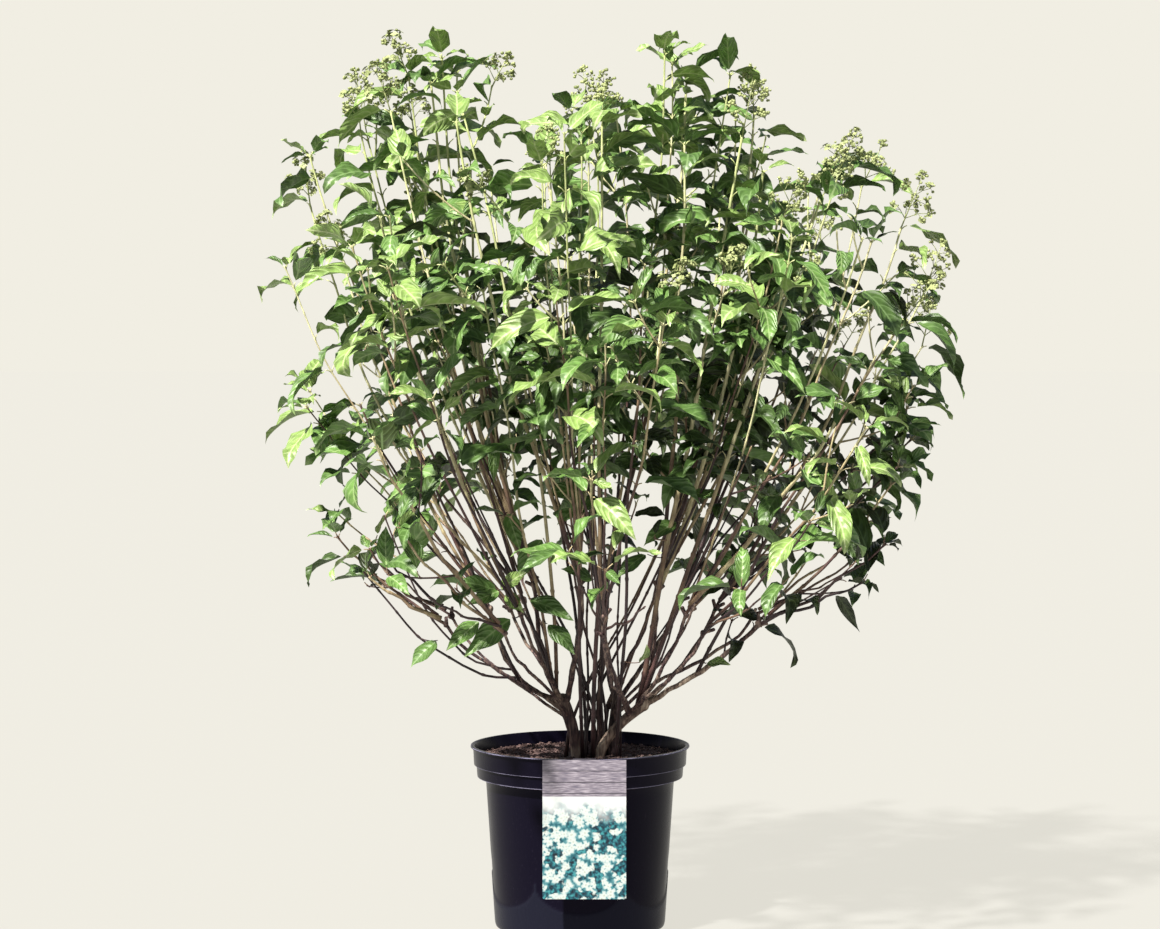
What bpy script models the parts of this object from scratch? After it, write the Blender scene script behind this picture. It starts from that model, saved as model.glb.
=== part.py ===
"""A potted panicle hydrangea: a nursery pot with its compost and picture label, three short trunks, one
tapering bough to each mass of foliage, and twenty-four masses of leafy, flowering canes.

Every mass keeps to its own wedge of space. The wedges all start at one focus under the compost, and the
planes half way between the axes of neighbouring masses divide them, so each wedge is convex.

Metres, +Z up. The origin is the centre of the pot's flat underside, and +Y runs from front to back.
"""

import math
import random

import bmesh
import bpy
from mathutils import Matrix, Vector
from mathutils.bvhtree import BVHTree

# Pot
POT_HEIGHT = 0.280
LIP_RADIUS = 0.170
LIP_HEIGHT = 0.0026
BAND_RADIUS = 0.1658  # under the lip
BAND_HEIGHT = 0.0270
STEP_RADIUS = 0.1606  # the narrower band under the first one
STEP_HEIGHT = 0.0185
SHOULDER_RADIUS = 0.1462  # where the plain tapering wall starts
BASE_RADIUS = 0.1310
BAND_DRAFT = 0.0012  # how much each band narrows downwards
LEDGE = 0.0018  # height of the slanting ledge under each band
FOOT_CHAMFER = 0.0030
WALL = 0.0022
POT_STEPS = 28

# Drain holes through the floor of the pot
DRAIN_HOLES = 5
DRAIN_RADIUS = 0.007
DRAIN_CIRCLE = 0.104

# Compost
SOIL_DROP = 0.018  # below the top of the lip
SOIL_TOP = POT_HEIGHT - SOIL_DROP

# Label: a stiff card that hangs on the lip by a folded tongue
CARD_WIDTH = 0.125
CARD_CENTRE_X = 0.0065  # it hangs a little to the right
CARD_HEIGHT = 0.210
CARD_THICKNESS = 0.0008
TONGUE_WIDTH = 0.034
TONGUE_INSIDE = 0.0155  # how far the tongue reaches down inside the pot

GAP = 0.0003  # between pieces that touch

# Crown
FOCUS = Vector((0.035, 0.0, 0.100))  # the axes of all masses meet here
CROWN_CENTRE = Vector((0.052, 0.0, 0.74))
CROWN_HALF = Vector((0.490, 0.450, 0.560))  # half width, half depth, half height
CROWN_POWER = 5.0  # 2 is an ellipsoid, and more is squarer
LEAF_LINE = 0.53  # no leaf grows nearer the focus than this at the sides
LEAF_LINE_RISE = 0.10  # more at the front and back, where the canes stay bare for longer

# A knuckle is the old pruning cut where a bough ends and its canes start.
# (name, masses in the ring, lean from upright, azimuth of the first one, focus to knuckle, canes in a mass)
RINGS = (
    ("top", 1, 1.0, 0.0, 0.44, 3),
    ("inner", 5, 15.5, 36.0, 0.44, 4),
    ("middle", 8, 28.5, 0.0, 0.43, 4),
    ("outer", 10, 42.5, 18.0, 0.45, 3),
)
SIDE_CANE_LEAN = 5.6  # degrees from the mass's axis
CANE_BOW = 0.08  # outward bow of a cane, as a share of its length
CANE_RADIUS = 0.0032
CANE_TIP_RADIUS = 0.0020
CANE_POINTS = 4
STRAIGHT_JOINT = 0.012  # length over which a bough and its stem run in line where they meet
SHORTEST_CANE = 0.88  # as a share of the way to the crown's envelope
CANE_CLEARANCE = 0.055  # between the tips of a mass's canes

# The shoots that stand out of the outline: (place of the cane's tip, whether it ends in a flower head)
LEADING_SHOOTS = (
    (Vector((-0.190, 0.02, 1.325)), False),
    (Vector((-0.335, -0.04, 1.225)), True),
    (Vector((-0.420, 0.03, 1.120)), True),
    (Vector((-0.450, -0.06, 1.020)), False),
    (Vector((-0.425, 0.06, 0.830)), False),
    (Vector((-0.370, -0.08, 0.610)), False),
    (Vector((0.015, 0.06, 1.250)), True),
    (Vector((0.140, -0.05, 1.330)), False),
    (Vector((0.270, 0.03, 1.260)), True),
    (Vector((0.440, 0.05, 1.150)), True),
    (Vector((0.490, -0.05, 1.080)), True),
    (Vector((0.535, 0.04, 0.900)), True),
    (Vector((0.510, -0.06, 0.720)), False),
    (Vector((0.450, 0.07, 0.580)), False),
)

# Leaves, a little larger than life because there are fewer of them
LEAF_LENGTH = 0.140
LEAF_WIDTH = 0.46  # as a share of its length
LEAF_THICKNESS = 0.022  # as a share of its length, at the thickest place
LEAF_FOLD = 0.10  # how far the midrib lies below the edges
LEAF_SPACING = 0.116  # between pairs of leaves along a cane
LEAF_TRIES = 7
LEAF_MARGIN = 0.0006  # that a leaf keeps to the planes of its wedge

# Flower heads: a spindle, with shorter ones round its foot
PANICLE_LENGTH = 0.100
PANICLE_RADIUS = 0.019
PANICLE_LOBES = 3
LOBE_LENGTH = 0.040
LOBE_RADIUS = 0.010
PANICLE_SHARE = 0.40  # of the canes

# Trunks: (name, foot, head, foot radius, head radius)
TRUNKS = (
    ("trunk_left", Vector((-0.004, -0.010, SOIL_TOP + GAP)), Vector((-0.027, -0.010, 0.350)), 0.0098, 0.0112),
    ("trunk_right", Vector((0.028, -0.016, SOIL_TOP + GAP)), Vector((0.098, -0.014, 0.342)), 0.0088, 0.0092),
    ("trunk_rear", Vector((0.048, 0.024, SOIL_TOP + GAP)), Vector((0.060, 0.046, 0.352)), 0.0082, 0.0088),
)
FLARE = 1.45  # foot of a trunk against its narrowest place
TRUNK_BOW = 0.007
TRUNK_POINTS = 7
TRUNK_SIDES_RESOLUTION = 2  # 8 sides
BOUGH_RADIUS = 0.0050
BOUGH_TIP_RADIUS = 0.0036
BOUGH_POINTS = 5

SEED = 41

BARK = ("old_bark", (0.120, 0.075, 0.055), 0.80)
CANE_BARK = ("foliage_green", (0.105, 0.220, 0.045), 0.55)
POT_PLASTIC = ("pot_plastic", (0.012, 0.012, 0.020), 0.32)
COMPOST = ("compost", (0.040, 0.022, 0.015), 0.95)
CARD = ("label_card", (0.620, 0.740, 0.740), 0.35)


# ---------------------------------------------------------------- scene and meshes


def clear_scene():
    for obj in list(bpy.data.objects):
        bpy.data.objects.remove(obj, do_unlink=True)


def new_collection(name, hidden=False):
    made = bpy.data.collections.new(name)
    made.hide_render = hidden
    bpy.context.scene.collection.children.link(made)
    return made


def material(name, colour, roughness):
    made = bpy.data.materials.get(name)
    if made is None:
        made = bpy.data.materials.new(name)
        made.use_nodes = True
        shader = made.node_tree.nodes["Principled BSDF"]
        shader.inputs["Base Color"].default_value = (*colour, 1.0)
        shader.inputs["Roughness"].default_value = roughness
        shader.inputs["Metallic"].default_value = 0.0
    return made


def link_mesh(name, mesh, collection, finish=None):
    """A new object for the mesh, in that collection."""
    obj = bpy.data.objects.new(name, mesh)
    collection.objects.link(obj)
    if finish is not None:
        mesh.materials.clear()
        mesh.materials.append(material(*finish))
    return obj


def evaluated_mesh(obj):
    bpy.context.view_layer.update()
    graph = bpy.context.evaluated_depsgraph_get()
    return bpy.data.meshes.new_from_object(obj.evaluated_get(graph))


def apply_modifiers(obj):
    """The object's mesh becomes what its modifiers make of it."""
    mesh = evaluated_mesh(obj)
    obj.modifiers.clear()
    obj.data = mesh


def empty_out(collection):
    for obj in list(collection.objects):
        bpy.data.objects.remove(obj, do_unlink=True)


def keep_largest_shell(mesh):
    """Drops the loose scraps and the walls of sealed hollows that fusing leaves, so one closed body stays."""
    bm = bmesh.new()
    bm.from_mesh(mesh)
    left, shells = set(bm.faces), []
    while left:
        shell, open_ends = [], [left.pop()]
        while open_ends:
            face = open_ends.pop()
            shell.append(face)
            for edge in face.edges:
                for other in edge.link_faces:
                    if other in left:
                        left.remove(other)
                        open_ends.append(other)
        shells.append(shell)
    shells.sort(key=len)
    for shell in shells[:-1]:
        bmesh.ops.delete(bm, geom=shell, context="FACES")
    bm.to_mesh(mesh)
    bm.free()


def turned(name, profile, collection, finish, steps=POT_STEPS):
    """A solid turned about Z. The profile runs down its outer side from the top."""
    mesh = bpy.data.meshes.new(name)
    mesh.from_pydata([(r, 0.0, z) for r, z in profile], [(i, i + 1) for i in range(len(profile) - 1)], [])
    obj = link_mesh(name, mesh, collection, finish)
    screw = obj.modifiers.new("turn", "SCREW")
    screw.axis = "Z"
    screw.steps = steps
    screw.render_steps = steps
    screw.use_merge_vertices = True
    screw.merge_threshold = 0.0001
    screw.use_smooth_shade = True
    return obj


# ---------------------------------------------------------------- pot, compost and label


def wall_profile():
    """Outer side of the pot, from the top of the lip to the middle of its underside, as (radius, height)."""
    lip_foot = POT_HEIGHT - LIP_HEIGHT
    band_foot = lip_foot - BAND_HEIGHT
    step_foot = band_foot - STEP_HEIGHT
    return [
        (LIP_RADIUS, POT_HEIGHT),
        (LIP_RADIUS, lip_foot),
        (BAND_RADIUS, lip_foot - LIP_HEIGHT / 2),
        (BAND_RADIUS - BAND_DRAFT, band_foot),
        (STEP_RADIUS, band_foot - LEDGE),
        (STEP_RADIUS - BAND_DRAFT, step_foot),
        (SHOULDER_RADIUS, step_foot - LEDGE),
        (BASE_RADIUS, FOOT_CHAMFER),
        (BASE_RADIUS - FOOT_CHAMFER, 0.0),
        (0.0, 0.0),
    ]


def inside_profile(inset=0.0):
    """Inner side of the pot, from the middle of its floor to the lip, shrunk by inset."""
    outer = wall_profile()
    floor = WALL + inset
    inner = [(radius - WALL - inset, max(height, floor)) for radius, height in reversed(outer[4:8])]
    top = BAND_RADIUS - WALL - inset
    return [(0.0, floor), *inner, (top - BAND_DRAFT, outer[3][1]), (top, POT_HEIGHT)]


def make_pot(parts, cutters):
    pot = turned("pot", wall_profile() + inside_profile() + [wall_profile()[0]], parts, POT_PLASTIC)
    apply_modifiers(pot)
    bm = bmesh.new()
    bm.from_mesh(pot.data)
    bmesh.ops.remove_doubles(bm, verts=bm.verts, dist=1e-5)
    bmesh.ops.recalc_face_normals(bm, faces=bm.faces)
    bm.to_mesh(pot.data)
    bm.free()
    for k in range(DRAIN_HOLES):
        turn = math.tau * (k + 0.5) / DRAIN_HOLES
        mesh = bpy.data.meshes.new("drain")
        bm = bmesh.new()
        place = Matrix.Translation((DRAIN_CIRCLE * math.cos(turn), DRAIN_CIRCLE * math.sin(turn), WALL / 2))
        bmesh.ops.create_cone(
            bm, cap_ends=True, segments=6, radius1=DRAIN_RADIUS, radius2=DRAIN_RADIUS, depth=4 * WALL, matrix=place
        )
        bm.to_mesh(mesh)
        bm.free()
        link_mesh(f"drain_{k}", mesh, cutters)
    cut = pot.modifiers.new("drains", "BOOLEAN")
    cut.operation = "DIFFERENCE"
    cut.operand_type = "COLLECTION"
    cut.collection = cutters
    cut.solver = "EXACT"
    apply_modifiers(pot)
    empty_out(cutters)
    return pot


def make_soil(parts):
    wall = inside_profile(GAP + 0.0001)
    below = [(r, z) for r, z in reversed(wall) if z < SOIL_TOP]
    (upper_r, upper_z), (lower_r, lower_z) = wall[-1], below[0]
    share = (SOIL_TOP - lower_z) / (upper_z - lower_z)
    rim = (lower_r + share * (upper_r - lower_r), SOIL_TOP)
    return turned("compost", [(0.0, SOIL_TOP), rim, *below], parts, COMPOST)


def make_box(name, low, high, collection):
    mesh = bpy.data.meshes.new(name)
    bm = bmesh.new()
    low, high = Vector(low), Vector(high)
    size = high - low
    bmesh.ops.create_cube(bm, size=1.0, matrix=Matrix.Translation((low + high) / 2) @ Matrix.Diagonal((*size, 1.0)))
    bm.to_mesh(mesh)
    bm.free()
    return link_mesh(name, mesh, collection)


def make_label(parts, cutters):
    """The card hangs straight down in front of the lip. Its tongue folds over the lip and ends above the compost."""
    back = -(LIP_RADIUS + GAP)
    front = back - CARD_THICKNESS
    top = POT_HEIGHT + GAP + CARD_THICKNESS
    left, right = CARD_CENTRE_X - CARD_WIDTH / 2, CARD_CENTRE_X + CARD_WIDTH / 2
    tongue_left, tongue_right = CARD_CENTRE_X - TONGUE_WIDTH / 2, CARD_CENTRE_X + TONGUE_WIDTH / 2
    inside_radius = inside_profile(GAP)[-2][0]
    inside = CARD_THICKNESS - math.sqrt(inside_radius**2 - tongue_right**2)
    inner = inside + CARD_THICKNESS
    card = make_box("label", (left, front, top - CARD_HEIGHT), (right, back, top), parts)
    make_box("tongue_top", (tongue_left, front, top - CARD_THICKNESS), (tongue_right, inner, top), cutters)
    make_box("tongue_inside", (tongue_left, inside, top - TONGUE_INSIDE), (tongue_right, inner, top), cutters)
    fuse(card, cutters)
    card.data.materials.append(material(*CARD))
    return card


def fuse(obj, collection, solver="EXACT"):
    """Joins all of the collection's solids to the object in one Boolean union, and removes them."""
    union = obj.modifiers.new("fuse", "BOOLEAN")
    union.operation = "UNION"
    union.operand_type = "COLLECTION"
    union.collection = collection
    union.solver = solver
    apply_modifiers(obj)
    empty_out(collection)
    keep_largest_shell(obj.data)


# ---------------------------------------------------------------- limbs


def bezier(points, steps):
    """Points along a quadratic or cubic Bezier curve."""
    made = []
    for k in range(steps):
        t = k / (steps - 1)
        row = list(points)
        while len(row) > 1:
            row = [a.lerp(b, t) for a, b in zip(row, row[1:])]
        made.append(row[0])
    return made


def triangle_section():
    """A three-cornered bevel section of radius 1, for twigs."""
    curve = bpy.data.curves.new("three_sided", "CURVE")
    curve.dimensions = "2D"
    spline = curve.splines.new("POLY")
    spline.points.add(2)
    for k, point in enumerate(spline.points):
        point.co = (math.cos(math.tau * k / 3), math.sin(math.tau * k / 3), 0.0, 1.0)
    spline.use_cyclic_u = True
    obj = bpy.data.objects.new("three_sided", curve)
    obj.hide_render = True
    obj.display_type = "WIRE"
    bpy.context.scene.collection.objects.link(obj)
    return obj


def limb_mesh(path, radii, section=None, resolution=1):
    """A closed tapering tube along the path. With no section it is round, of 4 + 2 * resolution sides."""
    curve = bpy.data.curves.new("limb", "CURVE")
    curve.dimensions = "3D"
    curve.use_fill_caps = True
    if section is None:
        curve.bevel_depth = 1.0
        curve.bevel_resolution = resolution
    else:
        curve.bevel_mode = "OBJECT"
        curve.bevel_object = section
    spline = curve.splines.new("POLY")
    spline.points.add(len(path) - 1)
    for point, place, radius in zip(spline.points, path, radii):
        point.co = (*place, 1.0)
        point.radius = radius
    obj = bpy.data.objects.new("limb", curve)
    bpy.context.scene.collection.objects.link(obj)
    mesh = evaluated_mesh(obj)
    bpy.data.objects.remove(obj, do_unlink=True)
    bpy.data.curves.remove(curve)
    bm = bmesh.new()
    bm.from_mesh(mesh)
    bmesh.ops.remove_doubles(bm, verts=bm.verts, dist=1e-6)
    bmesh.ops.recalc_face_normals(bm, faces=bm.faces)
    bm.to_mesh(mesh)
    bm.free()
    return mesh


def taper(first, last, count):
    return [first + (last - first) * k / (count - 1) for k in range(count)]


def trunk_path(foot, head, steps=TRUNK_POINTS):
    """The trunk leaves the compost upright and bows to its lean."""
    middle = foot.lerp(head, 0.45) + Vector((0.0, 0.0, TRUNK_BOW)) - (head - foot).to_2d().to_3d() * 0.25
    return bezier((foot, middle, head), steps)


def trunk_radii(foot_radius, head_radius, steps=TRUNK_POINTS):
    """Widest at the root flare, then an even taper, and a slight swelling at the fork."""
    radii = taper(foot_radius, head_radius, steps)
    radii[0] *= FLARE
    radii[1] *= 1 + (FLARE - 1) * 0.35
    return radii


def outward(direction):
    """The level unit vector away from the plant's middle."""
    flat = Vector((direction.x, direction.y, 0.0))
    return flat.normalized() if flat.length > 1e-6 else Vector((1.0, 0.0, 0.0))


def polar(lean, azimuth):
    """Unit vector that leans this many degrees from upright."""
    lean, azimuth = math.radians(lean), math.radians(azimuth)
    return Vector((math.sin(lean) * math.cos(azimuth), math.sin(lean) * math.sin(azimuth), math.cos(lean)))


def make_trunks(parts):
    """The trunk objects, and for each one (path, radii)."""
    lines = {}
    for name, foot, head, foot_radius, head_radius in TRUNKS:
        path, radii = trunk_path(foot, head), trunk_radii(foot_radius, head_radius)
        mesh = limb_mesh(path, radii, resolution=TRUNK_SIDES_RESOLUTION)
        flatten_foot(mesh, len(path))
        link_mesh(name, mesh, parts, BARK)
        lines[name] = (path, radii)
    return lines


def flatten_foot(mesh, points):
    """Makes the cut at the compost level: the lowest ring of the limb is brought to one height."""
    low = SOIL_TOP + GAP
    ring = len(mesh.vertices) // points
    height = sorted(v.co.z for v in mesh.vertices)[ring - 1]
    for vert in mesh.vertices:
        if vert.co.z <= height + 1e-6:
            vert.co.z = low


# ---------------------------------------------------------------- the crown's wedges


def crown_reach(direction):
    """Distance from the focus to the crown's envelope that way."""
    low, high = 0.0, 2.5
    for _ in range(40):
        middle = (low + high) / 2
        at = FOCUS + direction * middle - CROWN_CENTRE
        size = sum(abs(at[k] / CROWN_HALF[k]) ** CROWN_POWER for k in range(3))
        inside = size < 1 or at.z < 0 and middle < LEAF_LINE
        low, high = (middle, high) if inside else (low, middle)
    return low


def leaf_line(point):
    """How far from the focus the leaves start, that way."""
    away = point - FOCUS
    return LEAF_LINE + LEAF_LINE_RISE * (away.y / max(away.xy.length, 0.1)) ** 2


def mass_axes():
    """(name, axis, focus to knuckle, canes) of every mass."""
    made = []
    for ring, count, lean, first, reach, canes in RINGS:
        for k in range(count):
            name = ring if count == 1 else f"{ring}_{k + 1}"
            made.append((name, polar(lean, first + 360.0 * k / count), reach, canes))
    return made


def wedge_planes(axis, axes):
    """Unit normals of the planes through the focus that bound the mass's wedge."""
    return [(axis - other).normalized() for other in axes if other is not axis]


def in_wedge(point, planes, margin):
    return all((point - FOCUS).dot(normal) > margin for normal in planes)


def cane_ends(axis, count, planes, rng):
    """(tip, whether it flowers) of a mass's canes: its leading shoots, then canes spread evenly round its axis."""
    ends = [(tip, flowers) for tip, flowers in LEADING_SHOOTS if in_wedge(tip, planes, 0.02)]
    side = axis.orthogonal().normalized()
    first = rng.uniform(0, math.tau)
    spread = [axis]
    for k in range(count - 1):
        turn = Matrix.Rotation(first + math.tau * k / (count - 1), 3, axis)
        lean = math.radians(SIDE_CANE_LEAN * rng.uniform(0.85, 1.15))
        spread.append((axis * math.cos(lean) + (turn @ side) * math.sin(lean)).normalized())
    for direction in spread:
        tip = FOCUS + direction * crown_reach(direction) * rng.uniform(SHORTEST_CANE, 1.0)
        flowers = rng.random() < PANICLE_SHARE
        clear = all((tip - other).length > CANE_CLEARANCE for other, _ in ends)
        if len(ends) < count and clear:
            ends.append((tip, flowers))
    return ends


def cane_path(start, tip, planes):
    """A cane bows outwards a little, as far as its wedge has room."""
    away = outward(tip - start)
    length = (tip - start).length
    for share in (CANE_BOW, CANE_BOW / 2, 0.0):
        path = bezier((start, start.lerp(tip, 0.5) + away * share * length, tip), CANE_POINTS)
        if all(in_wedge(p, planes, CANE_RADIUS + LEAF_MARGIN) for p in path[1:]):
            break
    return path


def along(path, distance):
    """(point, unit tangent) at this distance along a polyline."""
    for a, b in zip(path, path[1:]):
        step = (b - a).length
        if distance <= step:
            return a.lerp(b, distance / step), (b - a).normalized()
        distance -= step
    return path[-1].copy(), (path[-1] - path[-2]).normalized()


def path_length(path):
    return sum((b - a).length for a, b in zip(path, path[1:]))


# ---------------------------------------------------------------- leaves and flower heads


def spindle(corners):
    """A solid from a ball of few faces: its two poles go to the first two corners, its equator to the others."""
    sides = len(corners) - 2
    bm = bmesh.new()
    bmesh.ops.create_uvsphere(bm, u_segments=sides, v_segments=2, radius=1.0)
    for vert in bm.verts:
        turn = round(math.atan2(vert.co.y, vert.co.x) / math.tau * sides) % sides
        pole = 0 if vert.co.z < 0 else 1
        vert.co = corners[pole if abs(vert.co.z) > 0.5 else 2 + turn]
    if bm.calc_volume(signed=True) < 0:
        bmesh.ops.reverse_faces(bm, faces=bm.faces)
    mesh = bpy.data.meshes.new("spindle")
    bm.to_mesh(mesh)
    bm.free()
    return mesh


def spindle_faces(corners):
    sides = len(corners) - 2
    return [(pole, 2 + k, 2 + (k + 1) % sides) for pole in (0, 1) for k in range(sides)]


def leaf_corners(base, along_leaf, up, length):
    """Corners of a leaf: base and tip, its two edges, and the keel of its midrib below them."""
    across = along_leaf.cross(up).normalized()
    up = across.cross(along_leaf).normalized()
    width, fold = LEAF_WIDTH * length, LEAF_FOLD * length
    widest = base + along_leaf * length * 0.42
    edge_height = up * fold * 0.2
    return [
        base,
        base + along_leaf * length - up * fold,
        widest + across * width / 2 + edge_height,
        widest - across * width / 2 + edge_height,
        base + along_leaf * length * 0.36 - up * LEAF_THICKNESS * length,
    ]


def spray_corners(base, way, length, radius, bulge, sides=4):
    """Corners of a flower spray: a spindle with its thickest place at that share of its length."""
    a = way.orthogonal().normalized()
    b = way.cross(a)
    ring = [math.tau * k / sides for k in range(sides)]
    middle = base + way * length * bulge
    return [base, base + way * length, *(middle + (a * math.cos(t) + b * math.sin(t)) * radius for t in ring)]


class Obstacles:
    """Triangles with a bounding ball each, to test a new piece against its neighbours."""

    def __init__(self):
        self.items = []

    def add(self, points, faces):
        middle = sum(points, Vector()) / len(points)
        radius = max((p - middle).length for p in points)
        self.items.append((middle, radius, BVHTree.FromPolygons(points, faces)))

    def touch(self, points, faces):
        middle = sum(points, Vector()) / len(points)
        radius = max((p - middle).length for p in points)
        near = [tree for m, r, tree in self.items if (m - middle).length < r + radius]
        if not near:
            return False
        mine = BVHTree.FromPolygons(points, faces)
        return any(tree.overlap(mine) for tree in near)


def blade(corners):
    """The leaf without its stalk end, which is what must stay clear of other limbs."""
    return [corners[0].lerp(corners[1], 0.10), *corners[1:]]


def padded_tube(path, radius):
    """Corners and faces of a rough square tube round a path, for the test against limbs."""
    points, faces = [], []
    for k, place in enumerate(path):
        tangent = (path[min(k + 1, len(path) - 1)] - path[max(k - 1, 0)]).normalized()
        a = tangent.orthogonal().normalized()
        b = tangent.cross(a)
        points += [place + (a * x + b * y) * radius for x, y in ((1, 0), (0, 1), (-1, 0), (0, -1))]
        if k:
            i = 4 * (k - 1)
            faces += [(i + c, i + (c + 1) % 4, i + 4 + (c + 1) % 4, i + 4 + c) for c in range(4)]
    return points, faces


def grow_leaves(path, planes, obstacles, rng, carries_panicle):
    """Leaf corners along a cane: opposite pairs, each pair turned a quarter from the last."""
    made = []
    length = path_length(path)
    turn = rng.uniform(0, math.tau)
    distance = length - 0.012
    pair = 0
    while distance > 0.02:
        place, tangent = along(path, distance)
        if (place - FOCUS).length > leaf_line(place) + rng.uniform(0.0, 0.05):
            at_tip = pair == 0 and not carries_panicle
            for side in (0.0, math.pi):
                corners = grow_leaf(place, tangent, turn + side, at_tip, planes, obstacles, rng)
                if corners:
                    obstacles.add(blade(corners), spindle_faces(corners))
                    made.append(corners)
        pair += 1
        turn += math.pi / 2
        distance -= LEAF_SPACING * rng.uniform(0.85, 1.15)
    return made


def grow_leaf(place, tangent, turn, at_tip, planes, obstacles, rng):
    """The first of several attitudes that keeps the leaf in its wedge and clear of the rest, or None."""
    side = tangent.orthogonal().normalized()
    for attempt in range(LEAF_TRIES):
        spin = turn + rng.uniform(-0.25, 0.25) * (1 + attempt)
        away = Matrix.Rotation(spin, 3, tangent) @ side
        rise = rng.uniform(0.2, 0.9) if at_tip else rng.uniform(-0.85, 0.0)
        if attempt > 3:
            rise = rng.uniform(0.0, 0.8) if attempt % 2 else rng.uniform(-1.3, -0.8)
        along_leaf = (away + Vector((0.0, 0.0, rise))).normalized()
        up = (Vector((0.0, 0.0, 1.0)) + tangent * 0.5 + away.cross(tangent) * rng.uniform(-0.45, 0.45)).normalized()
        size = LEAF_LENGTH * rng.uniform(0.82, 1.08) * (0.8 if at_tip else 1.0)
        base = place - along_leaf * 0.0013
        corners = leaf_corners(base, along_leaf, up, size)
        inside = all(in_wedge(c, planes, LEAF_MARGIN) for c in corners)
        if inside and not obstacles.touch(blade(corners), spindle_faces(corners)):
            return corners
    return None


def panicle_corners(tip, tangent, rng):
    """The corners of each spindle of a flower head at the end of a cane."""
    foot = tip - tangent * 0.012
    made = [spray_corners(foot, tangent, PANICLE_LENGTH, PANICLE_RADIUS, 0.36, sides=5)]
    side = tangent.orthogonal().normalized()
    first = rng.uniform(0, math.tau)
    for k in range(PANICLE_LOBES):
        away = Matrix.Rotation(first + math.tau * k / PANICLE_LOBES, 3, tangent) @ side
        way = (tangent * 0.75 + away).normalized()
        base = foot + tangent * PANICLE_LENGTH * (0.20 + 0.05 * k)
        made.append(spray_corners(base, way, LOBE_LENGTH, LOBE_RADIUS, 0.60, sides=3))
    return made


# ---------------------------------------------------------------- masses and their boughs


def carrier(name, axis):
    """The trunk that carries a mass's bough, or None where its stem rises from the compost."""
    if name in ("top", "inner_1"):
        return None
    if axis.x < -0.05:
        return "trunk_left"
    return "trunk_rear" if axis.y > 0.2 else "trunk_right"


def plan_mass(name, axis, reach, count, axes, index):
    """Everything that places a mass: its wedge, its knuckle and the paths of its canes."""
    rng = random.Random(SEED + 7 * index)
    planes = wedge_planes(axis, axes)
    knuckle = FOCUS + axis * reach
    ends = cane_ends(axis, count, planes, rng)
    paths = []
    for k, (tip, _) in enumerate(ends):
        start = knuckle + axis * (GAP if k == 0 else 0.006 + 0.007 * k)
        path = cane_path(start, tip, planes)
        if k == 0:
            path.insert(1, start + axis * STRAIGHT_JOINT)
        paths.append(path)
    heads = [k for k, (_, flowers) in enumerate(ends) if flowers]
    return {
        "name": name,
        "axis": axis,
        "planes": planes,
        "knuckle": knuckle,
        "canes": paths,
        "heads": heads,
        "rng": rng,
        "order": index,
    }


def bough_path(plan, trunks, soil_slots):
    """From a trunk, or from the compost, out and up into the axis of the mass."""
    axis, knuckle = plan["axis"], plan["knuckle"]
    trunk = carrier(plan["name"], axis)
    if trunk is None:
        foot = soil_slots.pop(0)
        rise = (knuckle.z - foot.z) * 0.45
        path = bezier((foot, foot + Vector((0.0, 0.0, rise)), knuckle - axis * rise, knuckle), BOUGH_POINTS)
        return in_line(path, axis)
    path = trunks[trunk][0]
    steep = 1 - math.sqrt(axis.x**2 + axis.y**2) / 0.7
    share = min(0.97, 0.62 + 0.42 * steep + 0.10 * (plan["order"] % 2))
    start, _ = along(path, path_length(path) * share)
    span = (knuckle - start).length
    way = (outward(knuckle - start) + Vector((0.0, 0.0, 0.50 + 0.8 * steep))).normalized()
    path = bezier((start, start + way * span * 0.35, knuckle - axis * span * 0.32, knuckle), BOUGH_POINTS)
    return in_line(path, axis)


def in_line(path, axis):
    """The path with its last stretch laid straight along the axis of the mass."""
    return [*path[:-1], path[-1] - axis * STRAIGHT_JOINT, path[-1]]


def make_bough(plan, path, parts, cutters, limbs):
    """The bough, cut 0.3 mm clear of the trunk and of the boughs beside it."""
    radii = taper(BOUGH_RADIUS, BOUGH_TIP_RADIUS, len(path))
    rooted = path[0].z < SOIL_TOP + 2 * GAP
    mesh = limb_mesh(path, radii, resolution=1)
    if rooted:
        flatten_foot(mesh, len(path))
    name = "bough_" + plan["name"]
    obj = link_mesh(name, mesh, parts, BARK)
    for other_path, other_radii in limbs:
        near = min((a - b).length - r for a in path for b, r in zip(other_path, other_radii))
        if near < 0.05:
            wider = [r + GAP * 1.25 for r in other_radii]
            resolution = TRUNK_SIDES_RESOLUTION if max(other_radii) > BOUGH_RADIUS else 1
            long_path = [other_path[0] - (other_path[1] - other_path[0]).normalized() * GAP, *other_path[1:-1]]
            long_path.append(other_path[-1] + (other_path[-1] - other_path[-2]).normalized() * GAP)
            link_mesh("cutter", limb_mesh(long_path, wider, resolution=resolution), cutters)
    if len(cutters.objects):
        cut = obj.modifiers.new("saddle", "BOOLEAN")
        cut.operation = "DIFFERENCE"
        cut.operand_type = "COLLECTION"
        cut.collection = cutters
        cut.solver = "EXACT"
        apply_modifiers(obj)
        empty_out(cutters)
        keep_largest_shell(obj.data)
    limbs.append((path, radii))
    return obj


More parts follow.
